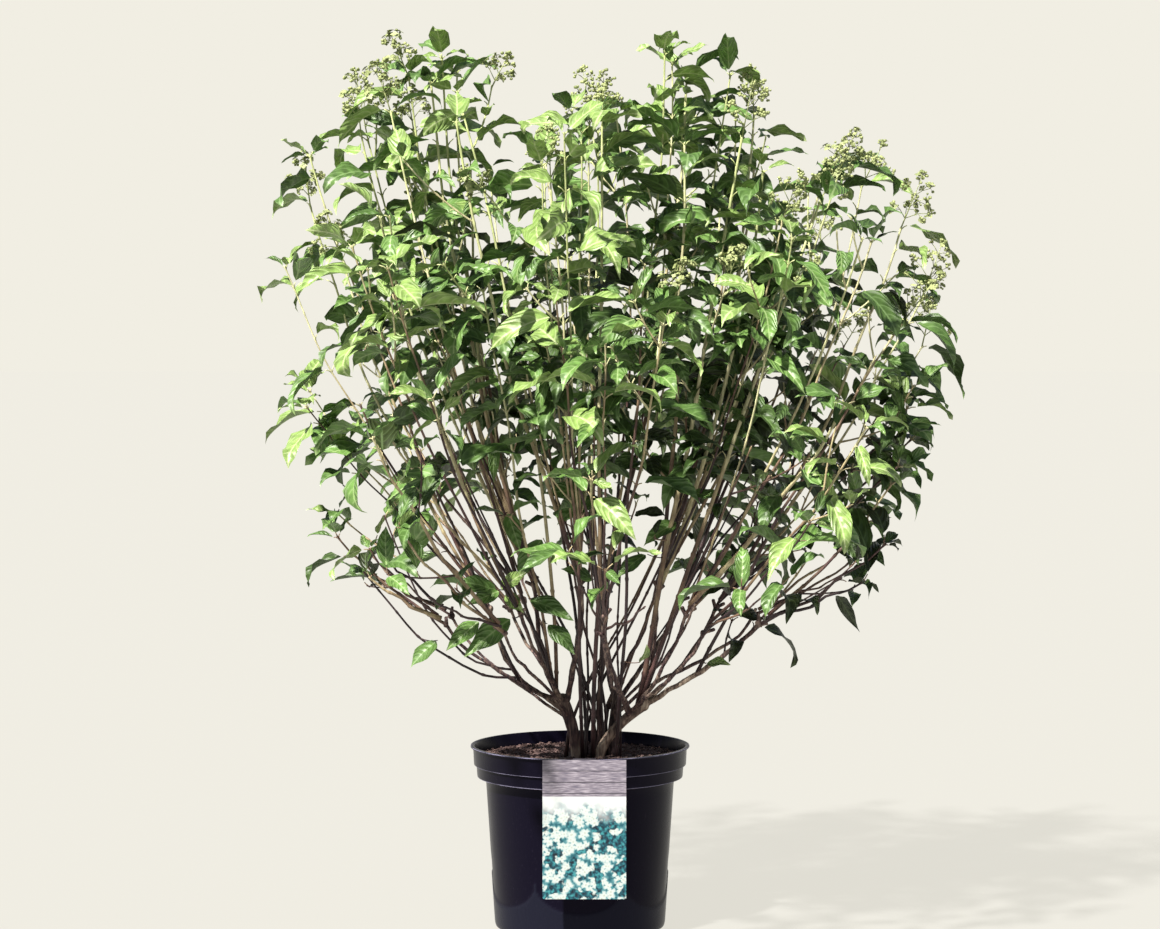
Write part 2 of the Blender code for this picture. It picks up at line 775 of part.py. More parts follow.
def make_mass(plan, section, parts, fusing, obstacles):
    """One node: the canes of a mass with their leaves and flower heads fused on."""
    rng = plan["rng"]
    heads = plan["heads"]
    leaves = []
    for k, path in enumerate(plan["canes"]):
        leaves += grow_leaves(path, plan["planes"], obstacles, rng, k in heads)
    stem, *others = [
        limb_mesh(path, taper(CANE_RADIUS, CANE_TIP_RADIUS, len(path)), section) for path in plan["canes"]
    ]
    obj = link_mesh("foliage_" + plan["name"], stem, parts, CANE_BARK)
    for mesh in others:
        link_mesh("cane", mesh, fusing)
    for corners in leaves:
        link_mesh("leaf", spindle(corners), fusing)
    for k in heads:
        tip, tangent = along(plan["canes"][k], 10.0)
        for corners in panicle_corners(tip, tangent, rng):
            if all(in_wedge(c, plan["planes"], LEAF_MARGIN) for c in corners):
                link_mesh("spray", spindle(corners), fusing)
    fuse(obj, fusing, "MANIFOLD")
    return len(leaves)


def main():
    clear_scene()
    parts = new_collection("potted_hydrangea")
    cutters = new_collection("cutters", hidden=True)
    make_pot(parts, cutters)
    make_soil(parts)
    make_label(parts, cutters)
    trunks = make_trunks(parts)
    section = triangle_section()

    axes = mass_axes()
    directions = [row[1] for row in axes]
    plans = [plan_mass(*row, directions, index) for index, row in enumerate(axes)]
    limbs = list(trunks.values())
    soil_slots = [Vector((0.028, 0.006, SOIL_TOP + GAP)), Vector((0.034, 0.052, SOIL_TOP + GAP))]
    obstacles = Obstacles()
    for plan in plans:
        path = bough_path(plan, trunks, soil_slots)
        make_bough(plan, path, parts, cutters, limbs)
        obstacles.add(*padded_tube(path, BOUGH_RADIUS + GAP))
    for plan in plans:
        for path in plan["canes"]:
            obstacles.add(*padded_tube(path, CANE_RADIUS + GAP))
    leaves = sum(make_mass(plan, section, parts, cutters, obstacles) for plan in plans)
    print(f"{leaves} leaves")


main()
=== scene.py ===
"""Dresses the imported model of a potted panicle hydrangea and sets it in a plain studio.

The pot, its compost, the picture label and the old wood are modelled piece by piece. The crown grows by the
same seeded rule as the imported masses, carried on to side shoots, leaf stalks, leaves and flower heads.

Metres, +Z up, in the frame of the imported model.
"""

import logging
import math
from collections.abc import Callable, Iterable, Sequence
from dataclasses import dataclass, field
from enum import Enum
from functools import partial
from random import Random

import bpy
import numpy as np
from bpy.types import Material, Node, NodeOutputs, NodeSocket, NodeTree, Object, World
from mathutils import Matrix, Vector, noise


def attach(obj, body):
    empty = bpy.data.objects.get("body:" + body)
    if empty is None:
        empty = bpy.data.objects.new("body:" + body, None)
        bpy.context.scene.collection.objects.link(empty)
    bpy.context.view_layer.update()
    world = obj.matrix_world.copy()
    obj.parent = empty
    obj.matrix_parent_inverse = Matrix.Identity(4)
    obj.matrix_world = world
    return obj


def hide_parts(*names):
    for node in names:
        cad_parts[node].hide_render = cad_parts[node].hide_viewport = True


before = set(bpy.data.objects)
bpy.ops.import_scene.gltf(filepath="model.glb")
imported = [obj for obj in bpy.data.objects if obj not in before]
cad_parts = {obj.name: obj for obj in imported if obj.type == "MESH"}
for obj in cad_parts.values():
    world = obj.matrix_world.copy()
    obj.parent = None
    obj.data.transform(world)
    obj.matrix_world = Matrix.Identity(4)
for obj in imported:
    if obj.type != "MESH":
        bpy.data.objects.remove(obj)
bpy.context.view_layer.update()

LOG = logging.getLogger("hydrangea")
MM = 0.001
UP = Vector((0.0, 0.0, 1.0))
Adder = Callable[..., NodeSocket]
Stops = tuple[tuple[float, str], ...]
Profile = Sequence[tuple[float, float]]
Shape = tuple[np.ndarray, list[list[int]]]  # corners and faces

# ---------------- shared helpers


def srgb(code: str) -> tuple[float, float, float, float]:
    """Linear colour of an sRGB hex code.

    Args:
        code: six hex digits after a hash sign.

    Returns:
        Linear red, green and blue, with an alpha of 1.
    """
    parts = [int(code[k : k + 2], 16) / 255 for k in (1, 3, 5)]
    red, green, blue = (c / 12.92 if c <= 0.04045 else ((c + 0.055) / 1.055) ** 2.4 for c in parts)
    return red, green, blue, 1.0


def set_inputs(made: Node, inputs: dict[str | int, object]) -> None:
    """Sets a node's inputs, each by its name or number, to a value or a link from an output.

    Args:
        made: the node.
        inputs: a value or an output for each input.
    """
    for name, value in inputs.items():
        if isinstance(value, NodeSocket):
            made.id_data.links.new(value, made.inputs[name])
        else:
            made.inputs[name].default_value = value


def add_node(
    tree: NodeTree,
    kind: str,
    output: str | int,
    inputs: dict[str | int, object] | Sequence[object] = (),
    **settings: object,
) -> NodeSocket:
    """Adds a node with its settings, socket values and links.

    Args:
        tree: the node tree that gets it.
        kind: the node's type name, after the ShaderNode that all of them start with.
        output: the output that is wanted, by name or number.
        inputs: what goes to each input, by its name or number, or to the first inputs in their order.
        settings: attributes by name, and as stops the (position, hex colour) rows of a colour ramp.

    Returns:
        The output, whose node has any others.
    """
    made = tree.nodes.new("ShaderNode" + kind)
    for name, value in settings.items():
        if name != "stops":
            setattr(made, name, value)
            continue
        ramp = made.color_ramp.elements
        while len(ramp) < len(value):
            ramp.new(1.0)
        for stop, (position, code) in zip(ramp, value):
            stop.position, stop.color = position, srgb(code)
    set_inputs(made, inputs if isinstance(inputs, dict) else dict(enumerate(inputs)))
    return made.outputs[output]


def start_material(name: str) -> tuple[Material, Adder, Node]:
    """A new material, the function that adds a node to it, and its surface shader.

    Args:
        name: the material's name.

    Returns:
        The material, the function and the shader.
    """
    material = bpy.data.materials.new(name)
    material.use_nodes = True
    return material, partial(add_node, material.node_tree), material.node_tree.nodes["Principled BSDF"]


def deselect() -> None:
    """Leaves nothing selected, in object mode."""
    if bpy.context.object and bpy.context.object.mode != "OBJECT":
        bpy.ops.object.mode_set(mode="OBJECT")
    bpy.ops.object.select_all(action="DESELECT")


def pick(obj: Object) -> None:
    """Makes this the one selected and active object.

    Args:
        obj: the object.
    """
    deselect()
    obj.select_set(True)
    bpy.context.view_layer.objects.active = obj


def join(pieces: Sequence[Object]) -> Object:
    """Joins meshes into the first one.

    Args:
        pieces: the meshes.

    Returns:
        The first one, which holds them all.
    """
    deselect()
    for piece in pieces:
        piece.select_set(True)
    bpy.context.view_layer.objects.active = pieces[0]
    bpy.ops.object.join()
    return pieces[0]


def edit(obj: Object, action: str = "SELECT") -> None:
    """Opens a mesh in edit mode, with all or nothing of it selected.

    Args:
        obj: the mesh.
        action: SELECT or DESELECT, which goes for all of it.
    """
    pick(obj)
    bpy.ops.object.mode_set(mode="EDIT")
    bpy.ops.mesh.select_all(action=action)


def raise_rings(profile: Profile) -> None:
    """Draws the selected ring through (radius, height) places, as on a lathe, and closes the last one.

    Args:
        profile: the places, of which the selected ring is the first.
    """
    for (r0, z0), (r1, z1) in zip(profile, profile[1:]):
        bpy.ops.mesh.extrude_edges_move(TRANSFORM_OT_translate={"value": (0.0, 0.0, z1 - z0)})
        bpy.ops.transform.resize(value=(r1 / r0, r1 / r0, 1.0), center_override=(0.0, 0.0, z1))
    bpy.ops.mesh.edge_face_add()


def face_outwards() -> None:
    """Turns all normals of the closed mesh in edit mode outwards, and leaves that mode."""
    bpy.ops.mesh.select_all(action="SELECT")
    bpy.ops.mesh.normals_make_consistent(inside=False)
    bpy.ops.object.mode_set(mode="OBJECT")


def apply_modifier(obj: Object, kind: str, **settings: object) -> None:
    """Adds a modifier with these settings and applies it.

    Args:
        obj: the mesh.
        kind: the modifier's type.
        settings: its attributes by name.
    """
    pick(obj)
    modifier = obj.modifiers.new(kind.lower(), kind)
    for name, value in settings.items():
        setattr(modifier, name, value)
    bpy.ops.object.modifier_apply(modifier=modifier.name)


def finish_piece(
    obj: Object,
    name: str,
    materials: Sequence[Material],
    replaced: Iterable[str] = (),
    smooth_angle: float | None = None,
) -> Object:
    """Names, smooths and dresses a finished piece and lets it ride on the plant's one body.

    Args:
        obj: the mesh object, with its place in its mesh.
        name: the piece's name.
        materials: its finishes, by slot number.
        replaced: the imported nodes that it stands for.
        smooth_angle: edges sharper than this stay sharp, in degrees, or None to leave the shading.

    Returns:
        The object.
    """
    pick(obj)
    bpy.ops.object.transform_apply(location=True, rotation=True, scale=True)
    if smooth_angle is not None:
        bpy.ops.object.shade_smooth_by_angle(angle=math.radians(smooth_angle), keep_sharp_edges=False)
    obj.name = name
    obj.data.name = name
    obj.data.materials.clear()
    for material in materials:
        obj.data.materials.append(material)
    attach(obj, "root")
    if replaced:
        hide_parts(*replaced)
    deselect()
    obj.data.calc_loop_triangles()
    LOG.info("%s: %d triangles", name, len(obj.data.loop_triangles))
    return obj


@dataclass
class MeshBundle:
    """Many small shapes gathered as arrays and joined as one mesh."""

    points: list[np.ndarray] = field(default_factory=list)
    faces: list[list[int]] = field(default_factory=list)
    finishes: list[int] = field(default_factory=list)
    uvs: list[np.ndarray] = field(default_factory=list)
    count: int = 0

    def add(
        self,
        points: np.ndarray,
        faces: Iterable[Sequence[int]],
        finish: int = 0,
        uv: np.ndarray | None = None,
    ) -> None:
        """Adds one shape.

        Args:
            points: its corners, one row each.
            faces: corner numbers of each face.
            finish: material slot of its faces.
            uv: pattern coordinates of its corners.
        """
        before = len(self.faces)
        self.faces += [[corner + self.count for corner in face] for face in faces]
        self.finishes += [finish] * (len(self.faces) - before)
        self.points.append(points)
        self.uvs.append(np.zeros((len(points), 2)) if uv is None else uv)
        self.count += len(points)

    def build(self, name: str) -> Object:
        """Joins the shapes into one mesh.

        Args:
            name: name of the mesh and its object.

        Returns:
            The mesh as a smooth-shaded object.
        """
        mesh = bpy.data.meshes.new(name)
        mesh.from_pydata(np.concatenate(self.points).tolist(), [], self.faces)
        for _ in range(max(self.finishes) + 1):
            mesh.materials.append(None)
        mesh.polygons.foreach_set("material_index", self.finishes)
        mesh.polygons.foreach_set("use_smooth", [True] * len(self.faces))
        corners = np.empty(len(mesh.loops), np.int32)
        mesh.loops.foreach_get("vertex_index", corners)
        layer = mesh.uv_layers.new(name="blade")
        layer.data.foreach_set("uv", np.concatenate(self.uvs)[corners].ravel())
        mesh.update()
        obj = bpy.data.objects.new(name, mesh)
        bpy.context.scene.collection.objects.link(obj)
        return obj


def tube(path: Sequence[Vector], radii: Sequence[float], sides: int) -> Shape:
    """A closed tapering tube whose rings turn as little as they can along the path.

    Args:
        path: points of its centre line.
        radii: radius at each point.
        sides: corners in a ring.

    Returns:
        Corner array and faces.
    """
    points, faces = [], []
    across = None
    for k, place in enumerate(path):
        tangent = (path[min(k + 1, len(path) - 1)] - path[max(k - 1, 0)]).normalized()
        across = tangent.orthogonal() if across is None else across - tangent * across.dot(tangent)
        across.normalize()
        other = tangent.cross(across)
        for c in range(sides):
            angle = math.tau * c / sides
            points.append(place + (across * math.cos(angle) + other * math.sin(angle)) * radii[k])
        if k:
            i = sides * (k - 1)
            faces += [[i + c, i + (c + 1) % sides, i + sides + (c + 1) % sides, i + sides + c] for c in range(sides)]
    last = sides * (len(path) - 1)
    faces += [list(range(sides))[::-1], list(range(last, last + sides))]
    return np.array(points), faces


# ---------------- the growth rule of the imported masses

SOIL_TOP = 0.262
GAP = 0.0003
SOIL_LINE = SOIL_TOP + GAP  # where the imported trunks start
FOCUS = Vector((0.035, 0.0, 0.100))  # the axes of all masses meet here
CROWN_CENTRE = Vector((0.052, 0.0, 0.74))
CROWN_HALF = Vector((0.490, 0.450, 0.560))
CROWN_POWER = 5.0
LEAF_LINE = 0.53  # no leaf grows nearer the focus than this at the sides
LEAF_LINE_RISE = 0.10  # more at the front and back

# (name, masses in the ring, lean from upright, azimuth of the first one, focus to knuckle, canes in a mass)
RINGS = (
    ("top", 1, 1.0, 0.0, 0.44, 3),
    ("inner", 5, 15.5, 36.0, 0.44, 4),
    ("middle", 8, 28.5, 0.0, 0.43, 4),
    ("outer", 10, 42.5, 18.0, 0.45, 3),
)
SIDE_CANE_LEAN = 5.6
CANE_BOW = 0.08
CANE_RADIUS = 0.0032
SHORTEST_CANE = 0.88
CANE_CLEARANCE = 0.055
LEAF_MARGIN = 0.0006
PANICLE_SHARE = 0.40
DRAW_IN = 0.40  # how far the dressed knuckles are drawn in, as a share of their lean
SEED = 41

# Leading canes: the place of each one's tip, and whether it ends in a flower head
LEADING_SHOOTS = [
    (Vector(tip), mark)
    for *tip, mark in (
        (-0.190, 0.02, 1.325, False), (-0.335, -0.04, 1.225, True), (-0.420, 0.03, 1.120, True),
        (-0.450, -0.06, 1.020, False), (-0.425, 0.06, 0.830, False), (-0.370, -0.08, 0.610, False),
        (0.015, 0.06, 1.250, True), (0.140, -0.05, 1.330, False), (0.270, 0.03, 1.260, True),
        (0.440, 0.05, 1.150, True), (0.490, -0.05, 1.080, True), (0.535, 0.04, 0.900, True),
        (0.510, -0.06, 0.720, False), (0.450, 0.07, 0.580, False),
    )
]

# Trunks: (name, foot, head, foot radius, head radius)
TRUNKS = (
    ("trunk_left", Vector((-0.004, -0.010, SOIL_LINE)), Vector((-0.027, -0.010, 0.350)), 0.0098, 0.0112),
    ("trunk_right", Vector((0.028, -0.016, SOIL_LINE)), Vector((0.098, -0.014, 0.342)), 0.0088, 0.0092),
    ("trunk_rear", Vector((0.048, 0.024, SOIL_LINE)), Vector((0.060, 0.046, 0.352)), 0.0082, 0.0088),
)
SOIL_FEET = {
    "top": Vector((0.028, 0.006, SOIL_LINE)),
    "inner_1": Vector((0.034, 0.052, SOIL_LINE)),
}
# The two boughs that carry on a trunk's line: control points on the way to the knuckle
BOUGH_COURSES = {
    "middle_5": (Vector((-0.088, -0.020, 0.360)), Vector((-0.122, -0.022, 0.405))),
    "outer_10": (Vector((0.160, -0.030, 0.382)), Vector((0.216, -0.055, 0.412))),
}
TRUNK_BOW = 0.007
BOUGH_RADIUS = 0.0050
BOUGH_TIP_RADIUS = 0.0036


def bezier(points: Sequence[Vector], steps: int) -> list[Vector]:
    """Points along a quadratic or cubic Bezier curve.

    Args:
        points: three or four control points.
        steps: how many points are wanted.

    Returns:
        The points, with both ends.
    """
    made = []
    for k in range(steps):
        row = list(points)
        while len(row) > 1:
            row = [a.lerp(b, k / (steps - 1)) for a, b in zip(row, row[1:])]
        made.append(row[0])
    return made


def taper(first: float, last: float, count: int) -> list[float]:
    """Evenly changing radii."""
    return [first + (last - first) * k / (count - 1) for k in range(count)]


def outward(direction: Vector) -> Vector:
    """The level unit vector away from the plant's middle."""
    flat = Vector((direction.x, direction.y, 0.0))
    return flat.normalized() if flat.length > 1e-6 else Vector((1.0, 0.0, 0.0))


def polar(lean: float, azimuth: float) -> Vector:
    """Unit vector that leans this many degrees from upright."""
    lean, azimuth = math.radians(lean), math.radians(azimuth)
    return Vector((math.sin(lean) * math.cos(azimuth), math.sin(lean) * math.sin(azimuth), math.cos(lean)))


def square_to(axis: Vector, angle: float) -> Vector:
    """A unit vector square to an axis, turned round it by this angle."""
    return Matrix.Rotation(angle, 3, axis) @ axis.orthogonal().normalized()


def scatter(rng: Random, size: float) -> Vector:
    """A random offset of about this size."""
    return Vector([rng.gauss(0, size) for _ in range(3)])


def along(path: Sequence[Vector], distance: float) -> tuple[Vector, Vector]:
    """Point and unit tangent at this distance along a polyline.

    Args:
        path: the polyline's points.
        distance: length along it, from its start.

    Returns:
        The point and the tangent, at the end where the line is shorter.
    """
    for a, b in zip(path, path[1:]):
        step = (b - a).length
        if distance <= step:
            return a.lerp(b, distance / step), (b - a).normalized()
        distance -= step
    return path[-1].copy(), (path[-1] - path[-2]).normalized()


def path_length(path: Sequence[Vector]) -> float:
    """Length of a polyline."""
    return sum((b - a).length for a, b in zip(path, path[1:]))


def crown_reach(direction: Vector) -> float:
    """Distance from the focus to the crown's envelope that way.

    Args:
        direction: a unit vector.

    Returns:
        The distance.
    """
    low, high = 0.0, 2.5
    for _ in range(40):
        middle = (low + high) / 2
        at = FOCUS + direction * middle - CROWN_CENTRE
        size = sum(abs(at[k] / CROWN_HALF[k]) ** CROWN_POWER for k in range(3))
        inside = size < 1 or at.z < 0 and middle < LEAF_LINE
        low, high = (middle, high) if inside else (low, middle)
    return low


def leaf_line(point: Vector) -> float:
    """How far from the focus the leaves start, that way."""
    away = point - FOCUS
    return LEAF_LINE + LEAF_LINE_RISE * (away.y / max(away.xy.length, 0.1)) ** 2


def seen_across(place: Vector) -> float:
    """About how far across a place shows from the front, where what is nearer or further looks wider out."""
    return place.x * (1 + 0.10 * (place.y / 0.45) ** 2)


def is_leading(tip: Vector) -> bool:
    """Whether this is the tip of a leading cane."""
    return any((tip - leader).length < 1e-6 for leader, _ in LEADING_SHOOTS)


def in_wedge(point: Vector, planes: Sequence[Vector], margin: float) -> bool:
    """Whether a point lies inside a mass's wedge by this margin."""
    return all((point - FOCUS).dot(normal) > margin for normal in planes)


@dataclass
class Mass:
    """One mass of the crown: its wedge of space and its canes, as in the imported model."""

    name: str
    axis: Vector
    reach: float
    canes_wanted: int
    order: int
    planes: list[Vector] = field(default_factory=list)
    canes: list[tuple[Vector, Vector, Vector]] = field(default_factory=list)  # start, bow and tip
    heads: list[bool] = field(default_factory=list)
    rng: Random = field(default_factory=Random)

    @property
    def knuckle(self) -> Vector:
        """Where the bough ends and the canes start."""
        return FOCUS + self.axis * self.reach

    @property
    def drawn_knuckle(self) -> Vector:
        """The knuckle as dressed, drawn in a little more the wider the bough leans, as in a vase."""
        return FOCUS + (self.axis + UP * DRAW_IN * self.axis.xy.length).normalized() * self.reach

    def plan(self, axes: Sequence[Vector]) -> None:
        """Places the wedge and the canes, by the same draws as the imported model.

        Args:
            axes: the axes of all masses.
        """
        self.rng = Random(SEED + 7 * self.order)
        self.planes = [(self.axis - other).normalized() for other in axes if other is not self.axis]
        for k, (tip, flowers) in enumerate(self.cane_ends()):
            start = self.knuckle + self.axis * (GAP if k == 0 else 0.006 + 0.007 * k)
            self.canes.append((start, self.bow(start, tip), tip))
            self.heads.append(flowers)

    def cane_ends(self) -> list[tuple[Vector, bool]]:
        """Picks the places that canes grow to.

        Returns:
            Tips of the canes, and whether each one flowers.
        """
        rng, axis, count = self.rng, self.axis, self.canes_wanted
        ends = [(tip, flowers) for tip, flowers in LEADING_SHOOTS if in_wedge(tip, self.planes, 0.02)]
        first = rng.uniform(0, math.tau)
        spread = [axis]
        for k in range(count - 1):
            side = square_to(axis, first + math.tau * k / (count - 1))
            lean = math.radians(SIDE_CANE_LEAN * rng.uniform(0.85, 1.15))
            spread.append((axis * math.cos(lean) + side * math.sin(lean)).normalized())
        for direction in spread:
            tip = FOCUS + direction * crown_reach(direction) * rng.uniform(SHORTEST_CANE, 1.0)
            flowers = rng.random() < PANICLE_SHARE
            clear = all((tip - other).length > CANE_CLEARANCE for other, _ in ends)
            if len(ends) < count and clear:
                ends.append((tip, flowers))
        return ends

    def bow(self, start: Vector, tip: Vector) -> Vector:
        """Middle control point of a cane, which bows outwards as far as its wedge has room.

        Args:
            start: the cane's foot.
            tip: its other end.

        Returns:
            The control point.
        """
        away, length = outward(tip - start), (tip - start).length
        for share in (CANE_BOW, CANE_BOW / 2, 0.0):
            middle = start.lerp(tip, 0.5) + away * share * length
            rough = bezier((start, middle, tip), 4)
            if all(in_wedge(p, self.planes, CANE_RADIUS + LEAF_MARGIN) for p in rough[1:]):
                break
        return middle


def plan_masses() -> list[Mass]:
    """Plans every mass of the crown.

    Returns:
        The masses, ring by ring.
    """
    made = []
    for ring, count, lean, first, reach, canes in RINGS:
        for k in range(count):
            name = ring if count == 1 else f"{ring}_{k + 1}"
            made.append(Mass(name, polar(lean, first + 360.0 * k / count), reach, canes, len(made)))
    axes = [mass.axis for mass in made]
    for mass in made:
        mass.plan(axes)
    return made


# ---------------- pot


@dataclass(frozen=True)
class MouldedPolypropylene:
    """Injection-moulded polypropylene, navy black: a satin gloss that carries soft bluish reflections, with faint
    flow marks, fine handling scratches and faint dust specks, a painted lavender highlight along its edges and a
    foot ring painted paler as a painted reflection."""

    body: str = "#0B0915"
    # painted reflection: the foot ring is coloured paler than the body
    foot: str = "#161722"
    dust: str = "#2C2835"
    # painted highlight: the pale lavender line along the lip and the band edges
    painted_highlight: str = "#8F8BA6"
    flow_mark: float = 26 * MM
    scratch: float = 3.5 * MM

    def build(self) -> Material:
        """Builds its nodes.

        Returns:
            The material.
        """
        material, add, shader = start_material("moulded_polypropylene")
        place = add("TexCoord", "Object")
        foot = add("Attribute", "Fac", attribute_name="foot")
        edge = add("Attribute", "Fac", attribute_name="edge")
        drawn = add("Mapping", "Vector", {"Vector": place, "Scale": (1.0, 1.0, 0.25)})
        flow = add("TexNoise", "Fac", {"Vector": drawn, "Scale": 1 / self.flow_mark, "Detail": 4.0})
        specks = add("TexNoise", "Fac", {"Vector": place, "Scale": 1 / self.scratch, "Detail": 8.0})
        dusty = add("MapRange", 0, (specks, 0.60, 0.78, 0.0, 0.30))
        # painted reflection: the marked foot ring gets the paler foot colour
        body = add("Mix", 2, {0: foot, 6: srgb(self.body), 7: srgb(self.foot)}, data_type="RGBA")
        dusted = add("Mix", 2, {0: dusty, 6: body, 7: srgb(self.dust)}, data_type="RGBA")
        broken = add("MapRange", 0, (flow, 0.25, 0.60, 0.25, 1.0))
        # painted highlight: the marked edges turn pale lavender, broken up by the flow marks
        painted_highlight_mask = add("Math", 0, (edge, broken), operation="MULTIPLY")
        sockets = {
            "Base Color": add("Mix", 2, {0: painted_highlight_mask, 6: dusted, 7: srgb(self.painted_highlight)}, data_type="RGBA"),
            "Roughness": add("MapRange", 0, (flow, 0.3, 0.7, 0.25, 0.34)),
            "Normal": add("Bump", 0, {"Strength": 0.25, "Distance": 0.4 * MM, "Height": flow}),
            "IOR": 1.49,
            "Specular IOR Level": 0.08,
            "Specular Tint": (0.74, 0.68, 1.0, 1.0),
        }
        set_inputs(shader, sockets)
        return material


@dataclass
class NurseryPot:
    """A round thin-walled container with two bands under its lip and a scalloped foot ring."""

    height: float = 0.280
    lip_radius: float = 0.170
    lip_height: float = 2.6 * MM
    band_radius: float = 0.1658
    band_height: float = 27.0 * MM
    step_radius: float = 0.1606
    step_height: float = 18.5 * MM
    shoulder_radius: float = 0.1462
    base_radius: float = 0.1310
    band_draft: float = 1.2 * MM
    ledge: float = 1.8 * MM
    wall: float = 2.2 * MM
    round_over: float = 1.1 * MM
    steps: int = 240
    drain_holes: int = 5
    drain_radius: float = 7 * MM
    drain_circle: float = 0.104
    scallops: int = 6
    scallop_low: float = 0.040  # height of the foot ring in the middle of a scallop
    scallop_high: float = 0.084  # and at the cusps between them
    foot_step: float = 1.5 * MM  # how far the foot ring stands proud
    foot_soft: float = 4.5 * MM  # height over which its edge fades
    fine_below: float = 0.10  # the wall has closer rings up to here, for the foot ring
    fine_rings: int = 34

    @property
    def band_foot(self) -> float:
        """Height of the upper band's lower edge."""
        return self.height - self.lip_height - self.band_height

    @property
    def step_foot(self) -> float:
        """Height of the second band's lower edge."""
        return self.band_foot - self.step_height

    @property
    def shoulder(self) -> float:
        """Height of the body under the bands."""
        return self.step_foot - self.ledge

    @property
    def flare(self) -> float:
        """How much the body's radius grows with its height."""
        return (self.shoulder_radius - self.base_radius) / self.shoulder

    def outer_profile(self) -> Profile:
        """Draws the outside.

        Returns:
            (radius, height) up the outside, from the underside to the lip.
        """
        r, top = self.round_over, self.height
        band_top, band_foot, step_foot, shoulder = top - self.lip_height, self.band_foot, self.step_foot, self.shoulder
        rows = [(self.base_radius - 4 * r, 0.0), (self.base_radius - r, 0.0), (self.base_radius - 0.2 * r, 0.5 * r)]
        low, high, count = 2 * r, self.fine_below, self.fine_rings
        levels = [low + (high - low) * k / count for k in range(count + 1)]
        levels += [high + (shoulder - r - high) * k / 8 for k in range(1, 9)]
        rows += [(self.base_radius + self.flare * z, z) for z in levels]
        step_low = self.step_radius - self.band_draft
        band_low = self.band_radius - self.band_draft
        rows += [
            (self.shoulder_radius + 0.4 * r, shoulder - 0.2 * r),
            (step_low - r, step_foot - 0.3 * r),
            (step_low - 0.2 * r, step_foot),
            (step_low, step_foot + r),
            (self.step_radius, band_foot - 1.4 * r),
            (self.step_radius + 0.4 * r, band_foot - 0.5 * r),
            (band_low - r, band_foot),
            (band_low - 0.2 * r, band_foot + 0.3 * r),
            (band_low, band_foot + r),
            (self.band_radius, band_top - 1.2 * r),
            (self.band_radius + 0.5 * r, band_top - 0.3 * r),
            (self.lip_radius - r, band_top),
            (self.lip_radius - 0.25 * r, band_top + 0.3 * r),
            (self.lip_radius, band_top + r),
            (self.lip_radius - 0.25 * r, top - 0.3 * r),
            (self.lip_radius - r, top),
        ]
        return rows

    def inner_profile(self) -> Profile:
        """Draws the inside.

        Returns:
            (radius, height) down the inside, from the lip to the floor.
        """
        wall, top = self.wall, self.height
        return [
            (self.band_radius - wall + 0.8 * MM, top),
            (self.band_radius - wall, top - 0.8 * MM),
            (self.band_radius - self.band_draft - wall, self.band_foot + wall),
            (self.step_radius - wall, self.band_foot + 0.3 * wall),
            (self.step_radius - self.band_draft - wall, self.step_foot + wall),
            (self.shoulder_radius - wall, self.shoulder + 0.3 * wall),
            (self.base_radius - wall, 2 * wall),
            (self.base_radius - 2 * wall, wall),
        ]

    def turn(self, profile: Profile) -> Object:
        """Raises one ring after another, as on a lathe, and closes both ends.

        Args:
            profile: (radius, height) of each ring.

        Returns:
            The closed body.
        """
        deselect()
        radius, height = profile[0]
        bpy.ops.mesh.primitive_circle_add(
            vertices=self.steps, radius=radius, location=(0.0, 0.0, height), fill_type="NOTHING"
        )
        obj = bpy.context.object
        bpy.ops.object.transform_apply(location=True)
        edit(obj)
        raise_rings(profile)
        bpy.ops.mesh.select_all(action="DESELECT")
        bpy.ops.mesh.select_non_manifold()
        bpy.ops.mesh.edge_face_add()
        face_outwards()
        return obj

    def proud_share(self, angle: float, z: float) -> float:
        """How far a place on the wall belongs to the foot ring, from 0 to 1.

        Args:
            angle: the place's angle round the pot.
            z: its height.

        Returns:
            The share.
        """
        turn = (angle + math.pi / 2) / math.tau * self.scallops  # one scallop faces the front
        across = 2 * (turn - round(turn))
        edge = self.scallop_low + (self.scallop_high - self.scallop_low) * (1 - math.sqrt(max(0.0, 1 - across**2)))
        share = min(1.0, max(0.0, (edge - z) / self.foot_soft + 0.5))
        return share * share * (3 - 2 * share)

    def press_foot(self, obj: Object) -> None:
        """Sinks the wall behind the scalloped foot ring and marks the ring, which its finish paints paler as a painted
        reflection.

        Args:
            obj: the pot.
        """
        marks = obj.data.attributes.new("foot", "FLOAT", "POINT")
        for vert in obj.data.vertices:
            radius, z = vert.co.xy.length, vert.co.z
            outside = radius > self.base_radius + self.flare * z - 0.6 * MM and z < self.fine_below + 5 * MM
            share = self.proud_share(math.atan2(vert.co.y, vert.co.x), z) if outside else 0.0
            fade = min(1.0, z / (6 * MM))
            marks.data[vert.index].value = share
            if outside:
                grown = (radius + self.foot_step * fade * (share - 0.35)) / radius
                vert.co.x, vert.co.y = vert.co.x * grown, vert.co.y * grown

    def mark_painted_highlights(self, obj: Object) -> None:
        """Marks the lip and the lower edges of both bands, which get a painted highlight.

        Args:
            obj: the pot.
        """
        marks = obj.data.attributes.new("edge", "FLOAT", "POINT")
        r = self.round_over
        rows = [(self.lip_radius - 0.9 * r, self.height - 1.2 * r, self.height + r, 0.8)]
        for radius, foot in ((self.band_radius, self.band_foot), (self.step_radius, self.step_foot)):
            rows.append((radius - self.band_draft - 0.5 * r, foot - 0.5 * r, foot + 0.6 * r, 1.0))
        for vert in obj.data.vertices:
            radius, z = vert.co.xy.length, vert.co.z
            marks.data[vert.index].value = max(
                (share for least, low, high, share in rows if radius > least and low < z < high), default=0.0
            )

